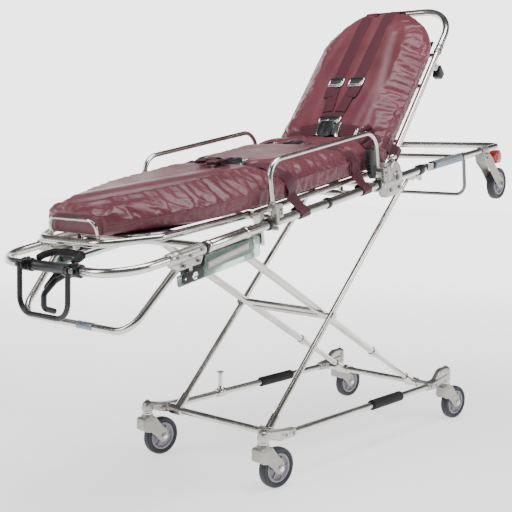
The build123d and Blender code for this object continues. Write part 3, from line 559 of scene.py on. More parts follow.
def cover_from_rings(name, rings):
    """Closed mesh skinned over equal rings of litter points."""
    shape = Shape(LITTER)
    shell = bmesh.new()
    rows = [[shell.verts.new(p) for p in ring] for ring in rings]
    count = len(rows[0])
    for low, high in zip(rows, rows[1:]):
        for j in range(count):
            k = (j + 1) % count
            shell.faces.new((low[j], low[k], high[k], high[j]))
    shell.faces.new(rows[0][::-1])
    shell.faces.new(rows[-1])
    bmesh.ops.recalc_face_normals(shell, faces=shell.faces)
    shape.take(shell)
    return shape.object(name, VINYL, 180)


def section(half, low, high):
    """Padded cross-section, as a full ring of (across, height) points."""
    mid = low + 0.5 * (high - low)
    f = min(1.0, half / 200)
    points = [
        (0, low), (half * 0.5, low), (half - 26 * f, low), (half - 10 * f, low + 4), (half - 3 * f, low + 14),
        (half + 1, mid - 12), (half + 3, mid), (half - 2 * f, mid + 9), (half - 15 * f, mid + 22),
        (half - 34 * f, high - 12), (half - 52 * f, high - 3), (half - 74 * f, high + 1),
        (half * 0.3, high + 2), (0, high + 2),
    ]
    return points + [(-a, b) for a, b in points[-2:0:-1]]


def wrinkled(obj, cap, pinned):
    """Swells and creases a closed cover with a short cloth run.

    pinned(point) gives 0 to 1; cap is the furthest that a point may move, in millimetres.
    """
    melt = obj.modifiers.new("melt", "REMESH")
    melt.mode = "VOXEL"
    melt.voxel_size = VOXEL
    applied(obj)
    rest = np.array([v.co[:] for v in obj.data.vertices])
    group = obj.vertex_groups.new(name="hold")
    for v in obj.data.vertices:
        weight = pinned(v.co)
        if weight > 0:
            group.add([v.index], weight, "REPLACE")
    cloth = obj.modifiers.new("cloth", "CLOTH")
    for key, value in CLOTH.items():
        setattr(cloth.settings, key, value)
    cloth.settings.effector_weights.gravity = 0
    cloth.collision_settings.use_collision = False
    cloth.point_cache.frame_start = 1
    cloth.point_cache.frame_end = CLOTH_FRAMES
    for f in range(1, CLOTH_FRAMES + 1):
        bpy.context.scene.frame_set(f)
    applied(obj)
    bpy.context.scene.frame_set(1)
    move = np.array([v.co[:] for v in obj.data.vertices]) - rest
    reach = np.linalg.norm(move, axis=1, keepdims=True)
    limit = cap * MM
    move *= np.where(reach > limit, limit / np.maximum(reach, 1e-9), 1.0)
    obj.data.vertices.foreach_set("co", (rest + move).ravel())
    obj.data.update()
    return obj


def finished_cover(obj):
    """One smoothing subdivision and smooth shading."""
    fine = obj.modifiers.new("fine", "SUBSURF")
    fine.levels = fine.render_levels = 1
    applied(obj)
    smooth_shaded(obj.data)


def near(value, target, width):
    """1 at the target, falling to 0 at a distance of width."""
    return max(0.0, 1.0 - abs(value - target) / width)


to_litter = LITTER.inverted()
to_back = BACK.inverted()


def foot_half(u):
    """Half-width of the lower mattress at a litter station."""
    table = [(-540, 88), (-528, 96), (-505, 116), (-470, 138), (-430, 158), (-340, 203), (-250, 230),
             (-180, COVER_HALF), (700, COVER_HALF)]
    for (a, x), (b, y) in zip(table, table[1:]):
        if a <= u <= b:
            return x + (y - x) * (u - a) / (b - a)
    return COVER_HALF


def mattress_low(u):
    """Height of the lower mattress's underside, which follows the foot deck down the litter."""
    return COVER_LOW + FOOT_SLOPE * max(0.0, FOOT_U - u)


def lower_mattress():
    """Foot and seat mattress as one cover."""
    rings = []
    for u in (-527, -524, -516, -500, *range(-480, 580, 20), 582, 590, 596):
        end = max(0.0, (-505 - u) / 22, (u - 582) / 14)
        pull = 8 * end ** 2
        ring = section(foot_half(u) - pull * 1.5, mattress_low(u) + pull, COVER_HIGH - pull)
        rings.append([Vector((u, y, z)) for y, z in ring])
    obj = cover_from_rings("lower_mattress", rings)

    def pinned(co):
        p = to_litter @ co / MM
        if p.z < mattress_low(p.x) + 8:
            return 1.0
        half = foot_half(p.x)
        seam = near(abs(p.y), half, 12) * near(p.z, LOWER_SEAM, 7)
        top = near(abs(p.y), half - 60, 14) * (1 if p.z > 130 else 0)
        belts = max(near(p.x, 100, 26), near(p.x, 470, 26)) * (0.8 if p.z > 60 else 0)
        return min(1.0, 0.9 * seam + 0.35 * top + 0.6 * belts)

    return wrinkled(obj, 13, pinned)


def back_path():
    """Stations of the back mattress: origin, normal and thickness in litter coordinates."""
    along = Vector((math.cos(BACK_ANGLE), 0, math.sin(BACK_ANGLE)))
    normal = Vector((-math.sin(BACK_ANGLE), 0, math.cos(BACK_ANGLE)))
    hinge, up = Vector((HINGE_U, 0, HINGE_W)), Vector(UP)
    rows = [(Vector((u, 0, COVER_LOW)), up, 98.0) for u in (604, 612, 625, 640)]
    rows.append((Vector((662, 0, 45)), (up + normal * 0.5).normalized(), 100.0))
    rows.append((Vector((684, 0, 50)), (up + normal * 2).normalized(), 96.0))
    for s in (60, *range(80, 700, 20), 692, 697):
        rows.append((hinge + along * s + normal * 15, normal, 80.0))
    return rows, along, hinge


def back_half(s):
    """Half-width of the back mattress at a distance along the backrest."""
    if s < 470:
        return float(COVER_HALF)
    t = min(1.0, (s - 470) / 232)
    return COVER_HALF * max(0.02, 1 - t ** 2.3) ** 0.5


def back_mattress():
    """Back mattress with an arched top, running down into the seat."""
    rows, along, hinge = back_path()
    rings = []
    for origin, normal, thick in rows:
        half = back_half((origin - hinge).dot(along))
        grow = thick * min(1.0, 0.35 + 0.65 * (half / COVER_HALF) ** 0.6)
        inset = (thick - grow) * 0.5
        ring = section(max(half, 30), 0, grow)
        rings.append([origin + normal * (b + inset) + Vector((0, a, 0)) for a, b in ring])
    obj = cover_from_rings("back_mattress_cover", rings)

    def pinned(co):
        p = to_back @ co / MM
        q = to_litter @ co / MM
        if p.z < 20 or q.z < COVER_LOW + 8 or q.x < 612:
            return 1.0
        seam = near(abs(p.y), back_half(p.x), 12) * near(p.z, BACK_SEAM, 7)
        return min(1.0, 0.9 * seam + 0.5 * near(p.x, 95, 22))

    return wrinkled(obj, 14, pinned)


def tuck_foot(obj):
    """Sets the lower part of the foot face back behind the hoop, under an overhanging top."""
    inverse = FOOT.inverted()
    for v in obj.data.vertices:
        p = inverse @ v.co / MM
        if p.x > -440:
            continue
        rise = max(0.0, min(1.0, (p.z - 60) / 16))
        limit = -470 - 24 * rise * rise * (3 - 2 * rise)
        if p.x < limit:
            p.x = limit + (p.x - limit) * 0.1
            v.co = world(FOOT, p.x, p.y, p.z)


def crease(obj, line, depth, width, place, floor):
    """Presses or raises the surface above a floor by depth, along a local polyline and over a width."""
    inverse = place.inverted()
    axis = (place.to_3x3() @ Vector((0, 0, 1))).normalized()
    points = [Vector((x, y)) for x, y in line]
    for v in obj.data.vertices:
        p = inverse @ v.co / MM
        if p.z < floor:
            continue
        flat = Vector((p.x, p.y))
        best = 1e9
        for a, b in zip(points, points[1:]):
            d = b - a
            t = max(0.0, min(1.0, (flat - a).dot(d) / d.length_squared))
            best = min(best, (flat - (a + d * t)).length)
        if best < width:
            fall = 0.5 + 0.5 * math.cos(math.pi * best / width)
            v.co += axis * (depth * fall * MM)


lower = lower_mattress()
upper = back_mattress()
tuck_foot(lower)
BACK_FOLDS = (([(96, -168), (330, -158), (560, -118)], -5),
              ([(110, -96), (340, -112), (600, -66)], 3.5),
              ([(110, 168), (330, 158), (560, 112)], -4),
              ([(150, 96), (400, 104), (610, 60)], 3),
              ([(250, 0), (420, 8), (660, 6)], 2.5))
for ridge, depth in BACK_FOLDS:
    crease(upper, ridge, depth, 30, BACK, 70)
crease(lower, [(-516, 79), (-335, 2), (-137, -77), (-60, -100)], 5, 60, LITTER, 125)
for strap_u in (88, 452):
    crease(lower, [(strap_u, -260), (strap_u, 260)], -5, 34, LITTER, 120)
finished_cover(lower)
finished_cover(upper)


def surface_of(obj):
    return BVHTree.FromObject(obj, bpy.context.evaluated_depsgraph_get())


bpy.context.view_layer.update()
lower_tree, upper_tree = surface_of(lower), surface_of(upper)


def dropped(tree, place, x, y):
    """Point and normal of a cover under a local point, from 260 mm above the frame's plane."""
    down = (place.to_3x3() @ Vector((0, 0, -1))).normalized()
    hit, normal, _, _ = tree.ray_cast(world(place, x, y, 260), down, 0.4)
    if hit is None:
        return Vector((x, y, 150)), Vector(UP)
    return (place.inverted() @ hit) / MM, (place.to_3x3().inverted() @ normal).normalized()


def strap_over(tree, place, line, steps, lift=0.6):
    """Path and outward directions for a strap laid over a cover along a local plan line."""
    path, ups = [], []
    for (x0, y0), (x1, y1) in zip(line, line[1:]):
        for k in range(steps):
            t = k / steps
            spot, up = dropped(tree, place, x0 + (x1 - x0) * t, y0 + (y1 - y0) * t)
            path.append(spot + Vector((0, 0, lift)))
            ups.append(up)
    spot, up = dropped(tree, place, *line[-1])
    path.append(spot + Vector((0, 0, lift)))
    ups.append(up)
    for _ in range(2):
        for k in range(1, len(path) - 1):
            smoothed = (path[k - 1] + path[k] * 2 + path[k + 1]) / 4
            path[k] = Vector((smoothed.x, smoothed.y, max(smoothed.z, path[k].z)))
            ups[k] = (ups[k - 1] + ups[k] * 2 + ups[k + 1]).normalized()
    return path, [(u + Vector((0, 0, 1.2))).normalized() for u in ups]


def side_hit(tree, place, x, z, side):
    """Point and outward direction of a cover's side at a local station and height."""
    inward = (place.to_3x3() @ Vector((0, -side, 0))).normalized()
    hit, normal, _, _ = tree.ray_cast(world(place, x, side * 420, z), inward, 0.6)
    if hit is None:
        return Vector((x, side * COVER_HALF, z)), Vector((0, side, 0))
    return (place.inverted() @ hit) / MM, (place.to_3x3().inverted() @ normal).normalized()


HINGE_START = world(LITTER, -110, 0, 60)
HINGE_END = world(LITTER, 10, 0, 60)
BACK_START = world(LITTER, 606, 0, 60)
BACK_END = world(BACK, 66, 0, 55)
OVER_FOOT_HINGE = (("foot_section", "litter"), HINGE_START, HINGE_END)
OVER_BACK_HINGE = (("litter", "backrest"), BACK_START, BACK_END)


def bent(obj, bodies, start, end):
    """Bakes a vinyl piece's placement into its mesh."""
    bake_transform(obj)


def seam(tree, place, stations, name, hinge):
    """Piping along both sides of a cover."""
    shape = Shape(place)
    for side in SIDES:
        path = []
        for x, z in stations:
            point, normal = side_hit(tree, place, x, z, side)
            path.append(point + normal * 0.4)
        for _ in range(2):
            inner = [(a + b * 2 + c) / 4 for a, b, c in zip(path, path[1:], path[2:])]
            path = [path[0], *inner, path[-1]]
        shape.tube(path, 4.2, sides=10, ends=0.8)
    bent(shape.object(name, VINYL), *hinge)


seam(lower_tree, LITTER, [(u, LOWER_SEAM) for u in range(-500, 600, 14)], "lower_mattress_piping",
     OVER_FOOT_HINGE)
seam(upper_tree, BACK, [(s, BACK_SEAM) for s in range(96, 560, 14)], "back_mattress_piping", OVER_BACK_HINGE)

bent(lower, *OVER_FOOT_HINGE)
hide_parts("foot_mattress", "seat_mattress")
bent(upper, *OVER_BACK_HINGE)
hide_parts("back_mattress")


# ---------------------------------------------------------------- straps and buckles
def add(target, source, matrix):
    """Adds a shape built about the origin, in millimetres, to another at a placement."""
    mesh = bpy.data.meshes.new("scratch")
    source.bm.to_mesh(mesh)
    mesh.transform(matrix)
    target.bm.from_mesh(mesh)
    bpy.data.meshes.remove(mesh)


def seat_on(point, up, heading):
    """Placement in millimetres whose Z is up and whose X follows a heading."""
    up = Vector(up).normalized()
    ahead = Vector(heading)
    ahead = (ahead - up * ahead.dot(up)).normalized()
    across = up.cross(ahead)
    turn = Matrix((ahead, across, up)).transposed().to_4x4()
    return Matrix.Translation(point) @ turn


class Hardware:
    """Chrome and black parts of the buckles on one body."""

    def __init__(self, place):
        self.chrome, self.black = Shape(place), Shape(place)

    def join(self, bright, dark, placement):
        add(self.chrome, bright, placement)
        add(self.black, dark, placement)

    def adjuster(self, placement, wide=58, long=36):
        """Rectangular frame with a knurled slide bar."""
        bright, dark = Shape(), Shape()
        w, h = wide / 2, long / 2
        loop = [(0, -w, 3), (h, -w, 3), (h, w, 3), (-h, w, 3), (-h, -w, 3), (0, -w, 3)]
        bright.tube(loop, 5.5, bend=6, sides=14, ends=0)
        plate = [(-h + 2, -w + 4), (h - 12, -w + 4), (h - 12, w - 4), (-h + 2, w - 4)]
        bright.prism(plate, 4.2, 7.4, 1.2, 2, "XY")
        bright.box((-h + 5, -h + 8), (-w + 9, w - 9), (7, 9), 0.7)
        dark.box((h - 13, h - 3), (-w + 3, w - 3), (0.5, 10), 2.4, 3)
        for k in range(5):
            y = -w + 14 + k * (wide - 28) / 4
            dark.box((h - 12, h - 4), (y - 1.4, y + 1.4), (9, 11.2), 0.5)
        self.join(bright, dark, placement)

    def latch(self, placement, wide=56, long=62):
        """Black push-button housing with a chrome tongue on one end."""
        bright, dark = Shape(), Shape()
        w, h = wide / 2, long / 2
        body = [(-h, -w + 8), (-h + 8, -w), (h - 6, -w), (h, -w + 6), (h, w - 6), (h - 6, w), (-h + 8, w),
                (-h, w - 8)]
        dark.prism(body, 2, 15, 3, 3, "XY")
        dark.box((-h + 6, -2), (-w + 9, w - 9), (14, 17), 1.6, 2)
        dark.box((4, h - 7), (-w + 8, w - 8), (14.5, 16), 1, 2)
        half = [(h - 6, w - 9), (h + 12, w - 9), (h + 16, w - 2), (h + 30, w - 2)]
        tongue = [(a, -b) for a, b in half] + half[::-1]
        bright.prism(tongue, 7, 10.2, 1.2, 2, "XY")
        bright.tube([(h + 27, -w + 5, 9.5), (h + 27, w - 5, 9.5)], 6.5, sides=14)
        bright.box((-h - 9, -h + 3), (-w + 6, w - 6), (6, 10.5), 1.6, 2)
        self.join(bright, dark, placement)

    def finish(self, name, body, node):
        piece(self.chrome, f"{name}_chrome", CHROME, body, "steel_pin", node)
        piece(self.black, f"{name}_black", BLACK, body, "black_plastic", node)


def height_on(tree, place, x, y):
    """Point of a cover under a local point, with an outward direction that leans to the local Z."""
    point, up = dropped(tree, place, x, y)
    return point, (up + Vector((0, 0, 2))).normalized()


def mounted(tree, place, x, y, rise, heading):
    """Placement of a buckle lying on a cover at a local plan point."""
    point, up = height_on(tree, place, x, y)
    return seat_on(point + up * rise, up, heading)


# Turns of the straps off the covers: position in the strap's plane, then outward direction
OVER_TOP = (((692, 88), (0.6, 0.8)), ((704, 72), (0.95, 0.3)), ((706, 50), (1, 0)), ((702, 26), (0.95, -0.3)),
            ((690, 7), (0.5, -0.85)), ((664, 1), (0, -1)), ((620, 3), (0, -1)), ((572, 3), (0, -1)))
ROUND_BACK_FRAME = (((252, 10), (0.9, 0.4)), ((252, -8), (0.9, -0.5)), ((238, -15), (0, -1)),
                    ((224, -9), (-0.8, -0.6)))
ROUND_RAIL = (((252, 36), (0.9, 0.5)), ((262, 20), (0.6, 0.8)), ((275, 13), (0.7, 0.7)), ((282, 0), (1, 0)),
              ((276, -13), (0.6, -0.8)), ((264, -17), (0, -1)), ((252, -11), (-0.7, -0.7)),
              ((247, 2), (-1, 0)), ((246, 20), (-1, 0.1)))
BELT_SIDE_TOP = 124


def shoulder_strap(straps, parts, top, mid_y, end_y):
    """Strap from the buckle over the back's top, doubled below its adjuster, with a loose tail."""
    side = 1 if top > 0 else -1
    path, ups = strap_over(upper_tree, BACK, [(150, end_y), (318, mid_y), (520, (top + mid_y) / 2),
                                              (676, top)], 9)
    drift = top
    for (s, n), (a, b) in OVER_TOP:
        drift += side * 4
        path.append(Vector((s, drift, n)))
        ups.append(Vector((a, 0, b)))
    straps.ribbon(path, ups, 46)
    doubled = [(196, end_y + side * 8), (300, mid_y - side * 3)]
    tail = [(338, mid_y + side * 2), (298, mid_y + side * 12), (262, mid_y + side * 4)]
    straps.ribbon(*strap_over(upper_tree, BACK, doubled, 7, 4.0), 44)
    straps.ribbon(*strap_over(upper_tree, BACK, tail, 5, 5.5), 42)
    parts.adjuster(mounted(upper_tree, BACK, 330, mid_y, 2.5, (1, (top - mid_y) / 350, 0)))


def lap_strap(straps, side, s_end):
    """Strap from the buckle down the back's side and round its frame."""
    path, ups = strap_over(upper_tree, BACK, [(118, side * 34), (112, side * 110), (s_end + 6, side * 172)],
                           8, 1.2)
    for n in (84, 66, 48, 30):
        point, normal = side_hit(upper_tree, BACK, s_end, n, side)
        path.append(point + normal * 1.2)
        ups.append((normal + Vector((0, side, 0))).normalized())
    for (y, n), (a, b) in ROUND_BACK_FRAME:
        path.append(Vector((s_end, side * y, n)))
        ups.append(Vector((0, side * a, b)))
    straps.ribbon(path, ups, 47)


def gathered_webbing(straps):
    """Gathered spare webbing at the near lower corner of the back."""
    for k, (s, y, wave) in enumerate(((128, -150, 10), (92, -168, 14), (62, -186, 9))):
        path, ups = [], []
        for j in range(13):
            t = j / 12
            point, up = height_on(upper_tree, BACK, s - 26 * t, y - 34 * t)
            rise = 3 + k * 1.5 + abs(math.sin(math.pi * t * 2.0)) * wave
            path.append(point + up * rise)
            ups.append(up)
        straps.ribbon(path, ups, 42)


def harness():
    """Four-point harness on the backrest."""
    straps, parts = Shape(BACK), Hardware(BACK)
    for top, mid_y, end_y in ((52, 50, 22), (-42, -38, -16)):
        shoulder_strap(straps, parts, top, mid_y, end_y)
    parts.latch(mounted(upper_tree, BACK, 118, 4, 3, (0, -1, 0)), 60, 58)
    for y in (22, -16):
        parts.adjuster(mounted(upper_tree, BACK, 158, y, 3.0, (1, y / 260, 0)), 50, 26)
    for side, s_end in ((1, 84), (-1, 96)):
        lap_strap(straps, side, s_end)
    parts.adjuster(mounted(upper_tree, BACK, 104, -142, 3.0, (0, -1, 0.1)), 54, 40)
    gathered_webbing(straps)
    piece(straps, "harness_webbing", WEBBING, "backrest", "webbing", "harness")
    parts.finish("harness_hardware", "backrest", "harness")


def down_side(side, u, lean, path, ups):
    """Continues a belt down the lower cover's side."""
    for w in (BELT_SIDE_TOP, 108, 92, 76, 60):
        station = u + lean * (BELT_SIDE_TOP - w) / BELT_SIDE_TOP
        point, normal = side_hit(lower_tree, LITTER, station, w, side)
        path.append(point + normal * 1.0)
        ups.append((normal + Vector((0, side, 0.3))).normalized())


def around_rail(side, u, lean, path, ups):
    """Continues a belt once round the main rail."""
    for (v, w), (a, b) in ROUND_RAIL:
        path.append(Vector((u + lean * (BELT_SIDE_TOP - w) / BELT_SIDE_TOP, side * v, w)))
        ups.append(Vector((0, side * a, b)))


def seat_belt(straps, parts, u, lean, inner, latch_v):
    """Belt over the seat, looped round both main rails."""
    for side in SIDES:
        plan = [(u - (4 if side < 0 else -6), side * inner), (u, side * 120), (u + 2, side * 178)]
        path, ups = strap_over(lower_tree, LITTER, plan, 8, 1.0)
        down_side(side, u + 4, lean, path, ups)
        around_rail(side, u + 4, lean, path, ups)
        straps.ribbon(path, ups, 47)
        path, ups = [], []
        down_side(side, u + 12, lean, path, ups)
        straps.ribbon([p + Vector((0, side * 3.2, 0)) for p in path], ups, 44)
    parts.latch(mounted(lower_tree, LITTER, u - 2, latch_v, 2.5, (0.05, -1, 0)))
    parts.adjuster(mounted(lower_tree, LITTER, u, 96, 2.5, (0, 1, 0)))


def folded_webbing(straps):
    """Folded spare webbing beside the thigh latch."""
    folds = ((40, -56, 84, 0.12), (24, -46, 92, -0.1), (52, -18, 70, 0.2), (36, 26, 64, -0.3))
    for k, (u, v, run, turn) in enumerate(folds):
        path, ups = [], []
        stacked = 2.2 * k if k < 3 else 0
        for j in range(25):
            fold = j / 24 * 3
            leg = fold % 2
            back = leg if leg <= 1 else 2 - leg
            point, _ = height_on(lower_tree, LITTER, u + 20 - back * run * 0.55, v + turn * back * run * 0.5)
            rise = 2.5 + fold * 3.4 + stacked + 5 * math.sin(math.pi * back) ** 2
            path.append(point + Vector((0, 0, rise)))
            ups.append(Vector((0.2 * math.cos(math.pi * back), 0, 1)))
        straps.ribbon(path, ups, 43)


def seat_belts():
    """Thigh and lap belts over the seat."""
    straps, parts = Shape(LITTER), Hardware(LITTER)
    for u, lean, inner, latch_v in ((112, 30, 26, -30), (466, 22, 60, -4)):
        seat_belt(straps, parts, u, lean, inner, latch_v)
    folded_webbing(straps)
    piece(straps, "seat_webbing", WEBBING, "litter", "webbing", "lap_belt")
    parts.finish("seat_hardware", "litter", "lap_belt")


harness()
seat_belts()

# ---------------------------------------------------------------- wheels and casters
WHEEL_R, CASTER_TRAIL = 63.5, 57
TYRE_EDGE = [
    (45.6, -11), (46, -12.2), (49, -13.0), (50, -12.2), (51, -12.2), (52, -13.4), (56, -14.4), (59.5, -13.9),
    (61.8, -11.8), (63.0, -8.6), (63.45, -4.5),
]
HUB_EDGE = [
    (5.15, -14.6), (11, -14.9), (13.5, -14.2), (14.6, -12.5), (16, -7.2), (18.5, -5.7), (34, -5.2),
    (36.5, -6.4), (38.4, -10.4), (39.6, -12.6), (41.6, -13.2), (44.2, -12.6), (45.5, -11.4),
]


def both_faces(edge, middle=()):
    """Closed profile from one face's edge, mirrored through the wheel's mid-plane."""
    return [*edge, *middle, *((r, -h) for r, h in reversed(edge)), edge[0]]


TYRE_PROFILE = both_faces(TYRE_EDGE, [(WHEEL_R, 0)])
HUB_PROFILE = both_faces(HUB_EDGE)


def spoked(shape, x, y, z, count=6):
    """Radial ribs on both faces of a hub web."""
    for k in range(count):
        a = math.tau * k / count
        ca, sa = math.cos(a), math.sin(a)
        rib = ((13, -2.2), (38, -2.8), (38, 2.8), (13, 2.2))
        shape.prism([(x + r * ca - t * sa, z + r * sa + t * ca) for r, t in rib], y - 9.2, y + 9.2, 1.0, 2)


def build_wheel(place, x, y, z, name, body, tyre_node, hub_node):
    tyre = Shape(place).lathe((x, y, z), ACROSS, TYRE_PROFILE, 96)
    piece(tyre, f"{name}_tyre", TYRE, body, "tyre", tyre_node)
    hub = Shape(place).lathe((x, y, z), ACROSS, HUB_PROFILE, 72)
    spoked(hub, x, y, z)
    piece(hub, f"{name}_hub", HUB, body, "hub_plastic", hub_node)


def build_caster(end, side):
    name = f"{end}_{TAG[side]}"
    x, z = CASTER_TRAIL, WHEEL_R
    place = Matrix.Translation((STEM_X[end] * MM, side * STEM_Y * MM, 0)) @ Matrix.Rotation(deg(-8), 4, "Z")
    build_wheel(place, x, 0, z, f"caster_{name}", f"wheel_{name}", f"caster_tyre_{name}",
                f"caster_hub_{name}")
    fork = Shape(place)
    cheek = [(-24, 134), (-27, 116), (-26, 94), (-14, 88), (4, 85), (26, 66), (42, 50), (52, 45), (66, 48),
             (74, 58), (73, 74), (66, 88), (48, 104), (30, 126), (24, 134)]
    for face in SIDES:
        fork.prism(cheek, face * 17, face * 21.4, 1.2)
        fork.lathe((x, face * 21, z), (0, face, 0), [(0, 0), (12, 0), (11, 3.4), (9.5, 4.4), (0, 4.4)], 28)
        fork.prism([(-24, 128), (-22, 104), (-8, 118), (20, 128)], face * 18, face * 22.6, 1.2)
    fork.box((-26, 25), (-21.4, 21.4), (125, 137), 5, 3)
    fork.box((-29, -22), (-21.4, 21.4), (95, 133), 3, 3)
    fork.lathe((0, 0, 130), UP, [(0, 0), (22, 0), (21, 8), (19, 14), (18, 17), (0, 17)], 40)
    cast_piece(fork, f"caster_fork_{name}", CREAM, f"caster_{name}", "cast_alloy", f"caster_fork_{name}",
               voxel=1.5)
    steel = Shape(place)
    steel.collar((0, 0, 149.4), UP, 6, 18.5, 4.6, 1.2)
    steel.collar((0, 0, 154.2), UP, 6, 15.5, 4.4, 1.0)
    steel.tube([(0, 0, 128), (0, 0, 180 if end == "foot" else 192)], 12)
    steel.tube([(x, -25, z), (x, 25, z)], 10, sides=20)
    for face in SIDES:
        steel.bolt((x, face * 25.4, z), (0, face, 0), 6, 3.6)
    piece(steel, f"caster_stem_{name}", CHROME, f"caster_{name}", "steel_pin", f"caster_fork_{name}")


for end in STEM_X:
    for side in SIDES:
        build_caster(end, side)


# ---------------------------------------------------------------- base
LOW_CASTING = [(-17, 158), (-18, 176), (-10, 186), (12, 188), (50, 178), (80, 172), (148, 170), (148, 141),
               (78, 141), (50, 148), (22, 158)]
SWAN_CASTING = [(-19, 159), (-21, 184), (-17, 200), (-6, 208), (24, 211), (48, 209), (64, 201), (78, 188),
                (92, 176), (148, 170), (148, 141), (82, 141), (56, 151), (34, 163), (20, 159)]
CASTING_WEB = ((6, 184), (70, 176), (130, 166), (130, 162), (70, 168), (6, 172))


def corner_casting(end, inward, outline, top, cross, side):
    """Casting that joins a caster stem, a side tube and a cross tube."""
    casting = Shape()
    stem_x, y = STEM_X[end], side * STEM_Y
    casting.prism([(stem_x + inward * x, z) for x, z in outline], y - 12, y + 12, 5, 3)
    stem = [(0, 0), (19, 0), (19.5, 4), (18, top - 164), (13, top - 158), (0, top - 157)]
    casting.lathe((stem_x, y, 157), UP, stem, 40)
    socket = [(0, 0), (15, 0), (16, 4), (16, 68), (14.6, 74), (0, 74)]
    casting.lathe((stem_x + inward * 74, y, BASE_Z), (inward, 0, 0), socket, 36)
    casting.prism([(stem_x + inward * x, z) for x, z in CASTING_WEB], y - 15, y + 15, 3, 2)
    boss = [(0, 0), (15, 0), (14, 9), (12.5, 14), (0, 14)]
    casting.lathe((stem_x + inward * cross, y - side * 10, BASE_Z), (0, -side, 0), boss, 32)
    cast_piece(casting, f"corner_casting_{end}_{TAG[side]}", CAST, "base", "cast_alloy", "corner_castings",
               voxel=1.7)


def base_bolts():
    bolts = Shape()
    for side in SIDES:
        y = side * STEM_Y
        for end, inward, top in (("foot", 1, 186), ("head", -1, 206)):
            stem_x = STEM_X[end]
            bolts.knob((stem_x, y, top), UP, 11, 3.5, 1.2)
            bolts.bolt((stem_x, y, top + 3), UP, 7, 4)
            for x in (96, 132):
                bolts.knob((stem_x + inward * x, y + side * 14.5, BASE_Z), (0, side, 0), 4.6, 2.6, 0.8)
    piece(bolts, "base_bolts", STEEL, "base", "steel_pin")


def foam_grip(side, start=158.5, end=341.5, steps=24):
    """Foam sleeve on a base side tube, with fine turned rings between its rounded ends."""
    profile = [(11.1, 155), (15, 155), (17, 156.2), (18, start)]
    for k in range(1, steps):
        profile.append((18 - (0.28 if k % 2 else 0.0), start + (end - start) * k / steps))
    profile += [(18, end), (17, 343.8), (15, 345), (11.1, 345), (11.1, 155)]
    grip = Shape().lathe((0, side * STEM_Y, BASE_Z), ALONG, profile, 48)
    obj = piece(grip, f"foam_grip_{TAG[side]}", FOAM, "base", "black_foam", "foam_sleeves", sharp=60)


def catch_post():
    """Headed post that a vehicle's floor catch holds, on its clamp."""
    post = Shape()
    clamp = [(11.1, 0), (14.6, 0), (16, 1.6), (16, 14), (17.2, 17), (17.2, 27), (16, 30), (16, 42.4),
             (14.6, 44), (11.1, 44), (11.1, 0)]
    post.lathe((-97, STEM_Y, BASE_Z), ALONG, clamp, 44)
    stalk = [(0, 0), (13, 0), (12, 7), (8.6, 12), (8, 16), (8, 57), (9.5, 61), (13, 64.5), (13.3, 67),
             (12.4, 69), (0, 69)]
    post.lathe((-75, STEM_Y, BASE_Z + 9), UP, stalk, 40)
    piece(post, "floor_catch_post", ALU, "base", "cast_alloy", "lock_post")


for corner in (("foot", 1, LOW_CASTING, 188, 85), ("head", -1, SWAN_CASTING, 210, 100)):
    for side in SIDES:
        corner_casting(*corner, side)
base_bolts()
for side in SIDES:
    foam_grip(side)
catch_post()


# ---------------------------------------------------------------- litter fittings
def foot_casting(side, tag):
    """Casting that joins a main rail to the foot handle frame and the lower bail."""
    casting = Shape(LITTER)
    sleeve = [(13, 0), (15.5, 0), (18, 3), (18.4, 20), (19.5, 26), (19.5, 34), (18.2, 40), (18, 128),
              (16.5, 138), (13, 138)]
    casting.lathe((-442, side * RAIL_V, 0), ALONG, sleeve, 44)
    casting.lathe((-400, side * 250, -31), ALONG, [(0, 0), (12, 0), (14, 3), (14, 80), (12, 88), (0, 88)], 36)
    web = [(-430, 6), (-312, 6), (-306, -22), (-318, -40), (-404, -40), (-430, -24)]
    casting.prism(web, side * 246, side * 268, 5, 3)
    casting.prism([(-426, -4), (-408, -34), (-398, -34), (-414, -4)], side * 240, side * 272, 3, 2)
    cast_piece(casting, f"foot_casting_{tag}", CAST, "litter", "cast_alloy", "foot_castings", voxel=1.8)
    screws = Shape(LITTER)
    for u, w in ((-420, 4), (-372, -2), (-326, 4)):
        screws.knob((u, side * 283, w), (0, side, 0), 5.2, 3.4, 1.2)
    for u in (-388, -330):
        screws.knob((u, side * 270, -28), (0, side, 0), 5, 4, 1.2)
    piece(screws, f"foot_casting_screws_{tag}", STEEL, "litter", "steel_pin")


def rail_fittings(side, tag):
    """Black rings and the bright sleeve on a main rail."""
    rings = Shape(LITTER)
    for start, end, radius in ((-25, -17, 18.5), (275, 287, 18), (565, 575, 18.5), (838, 864, 18.3),
                               (-302, -294, 18)):
        rings.collar(((start + end) / 2, side * RAIL_V, 0), ALONG, 14.05, radius, end - start, 1.6)
    piece(rings, f"rail_rings_{tag}", BLACK, "litter", "black_plastic", "rail_collars")
    sleeve = Shape(LITTER)
    for u, radius, length in ((-205, 17, 176), (-124, 18.6, 14), (-285, 18.6, 12)):
        sleeve.collar((u, side * RAIL_V, 0), ALONG, 14.1, radius, length, 2)
    piece(sleeve, f"rail_sleeve_{tag}", ALU, "litter", "satin_tube", "rail_collars")


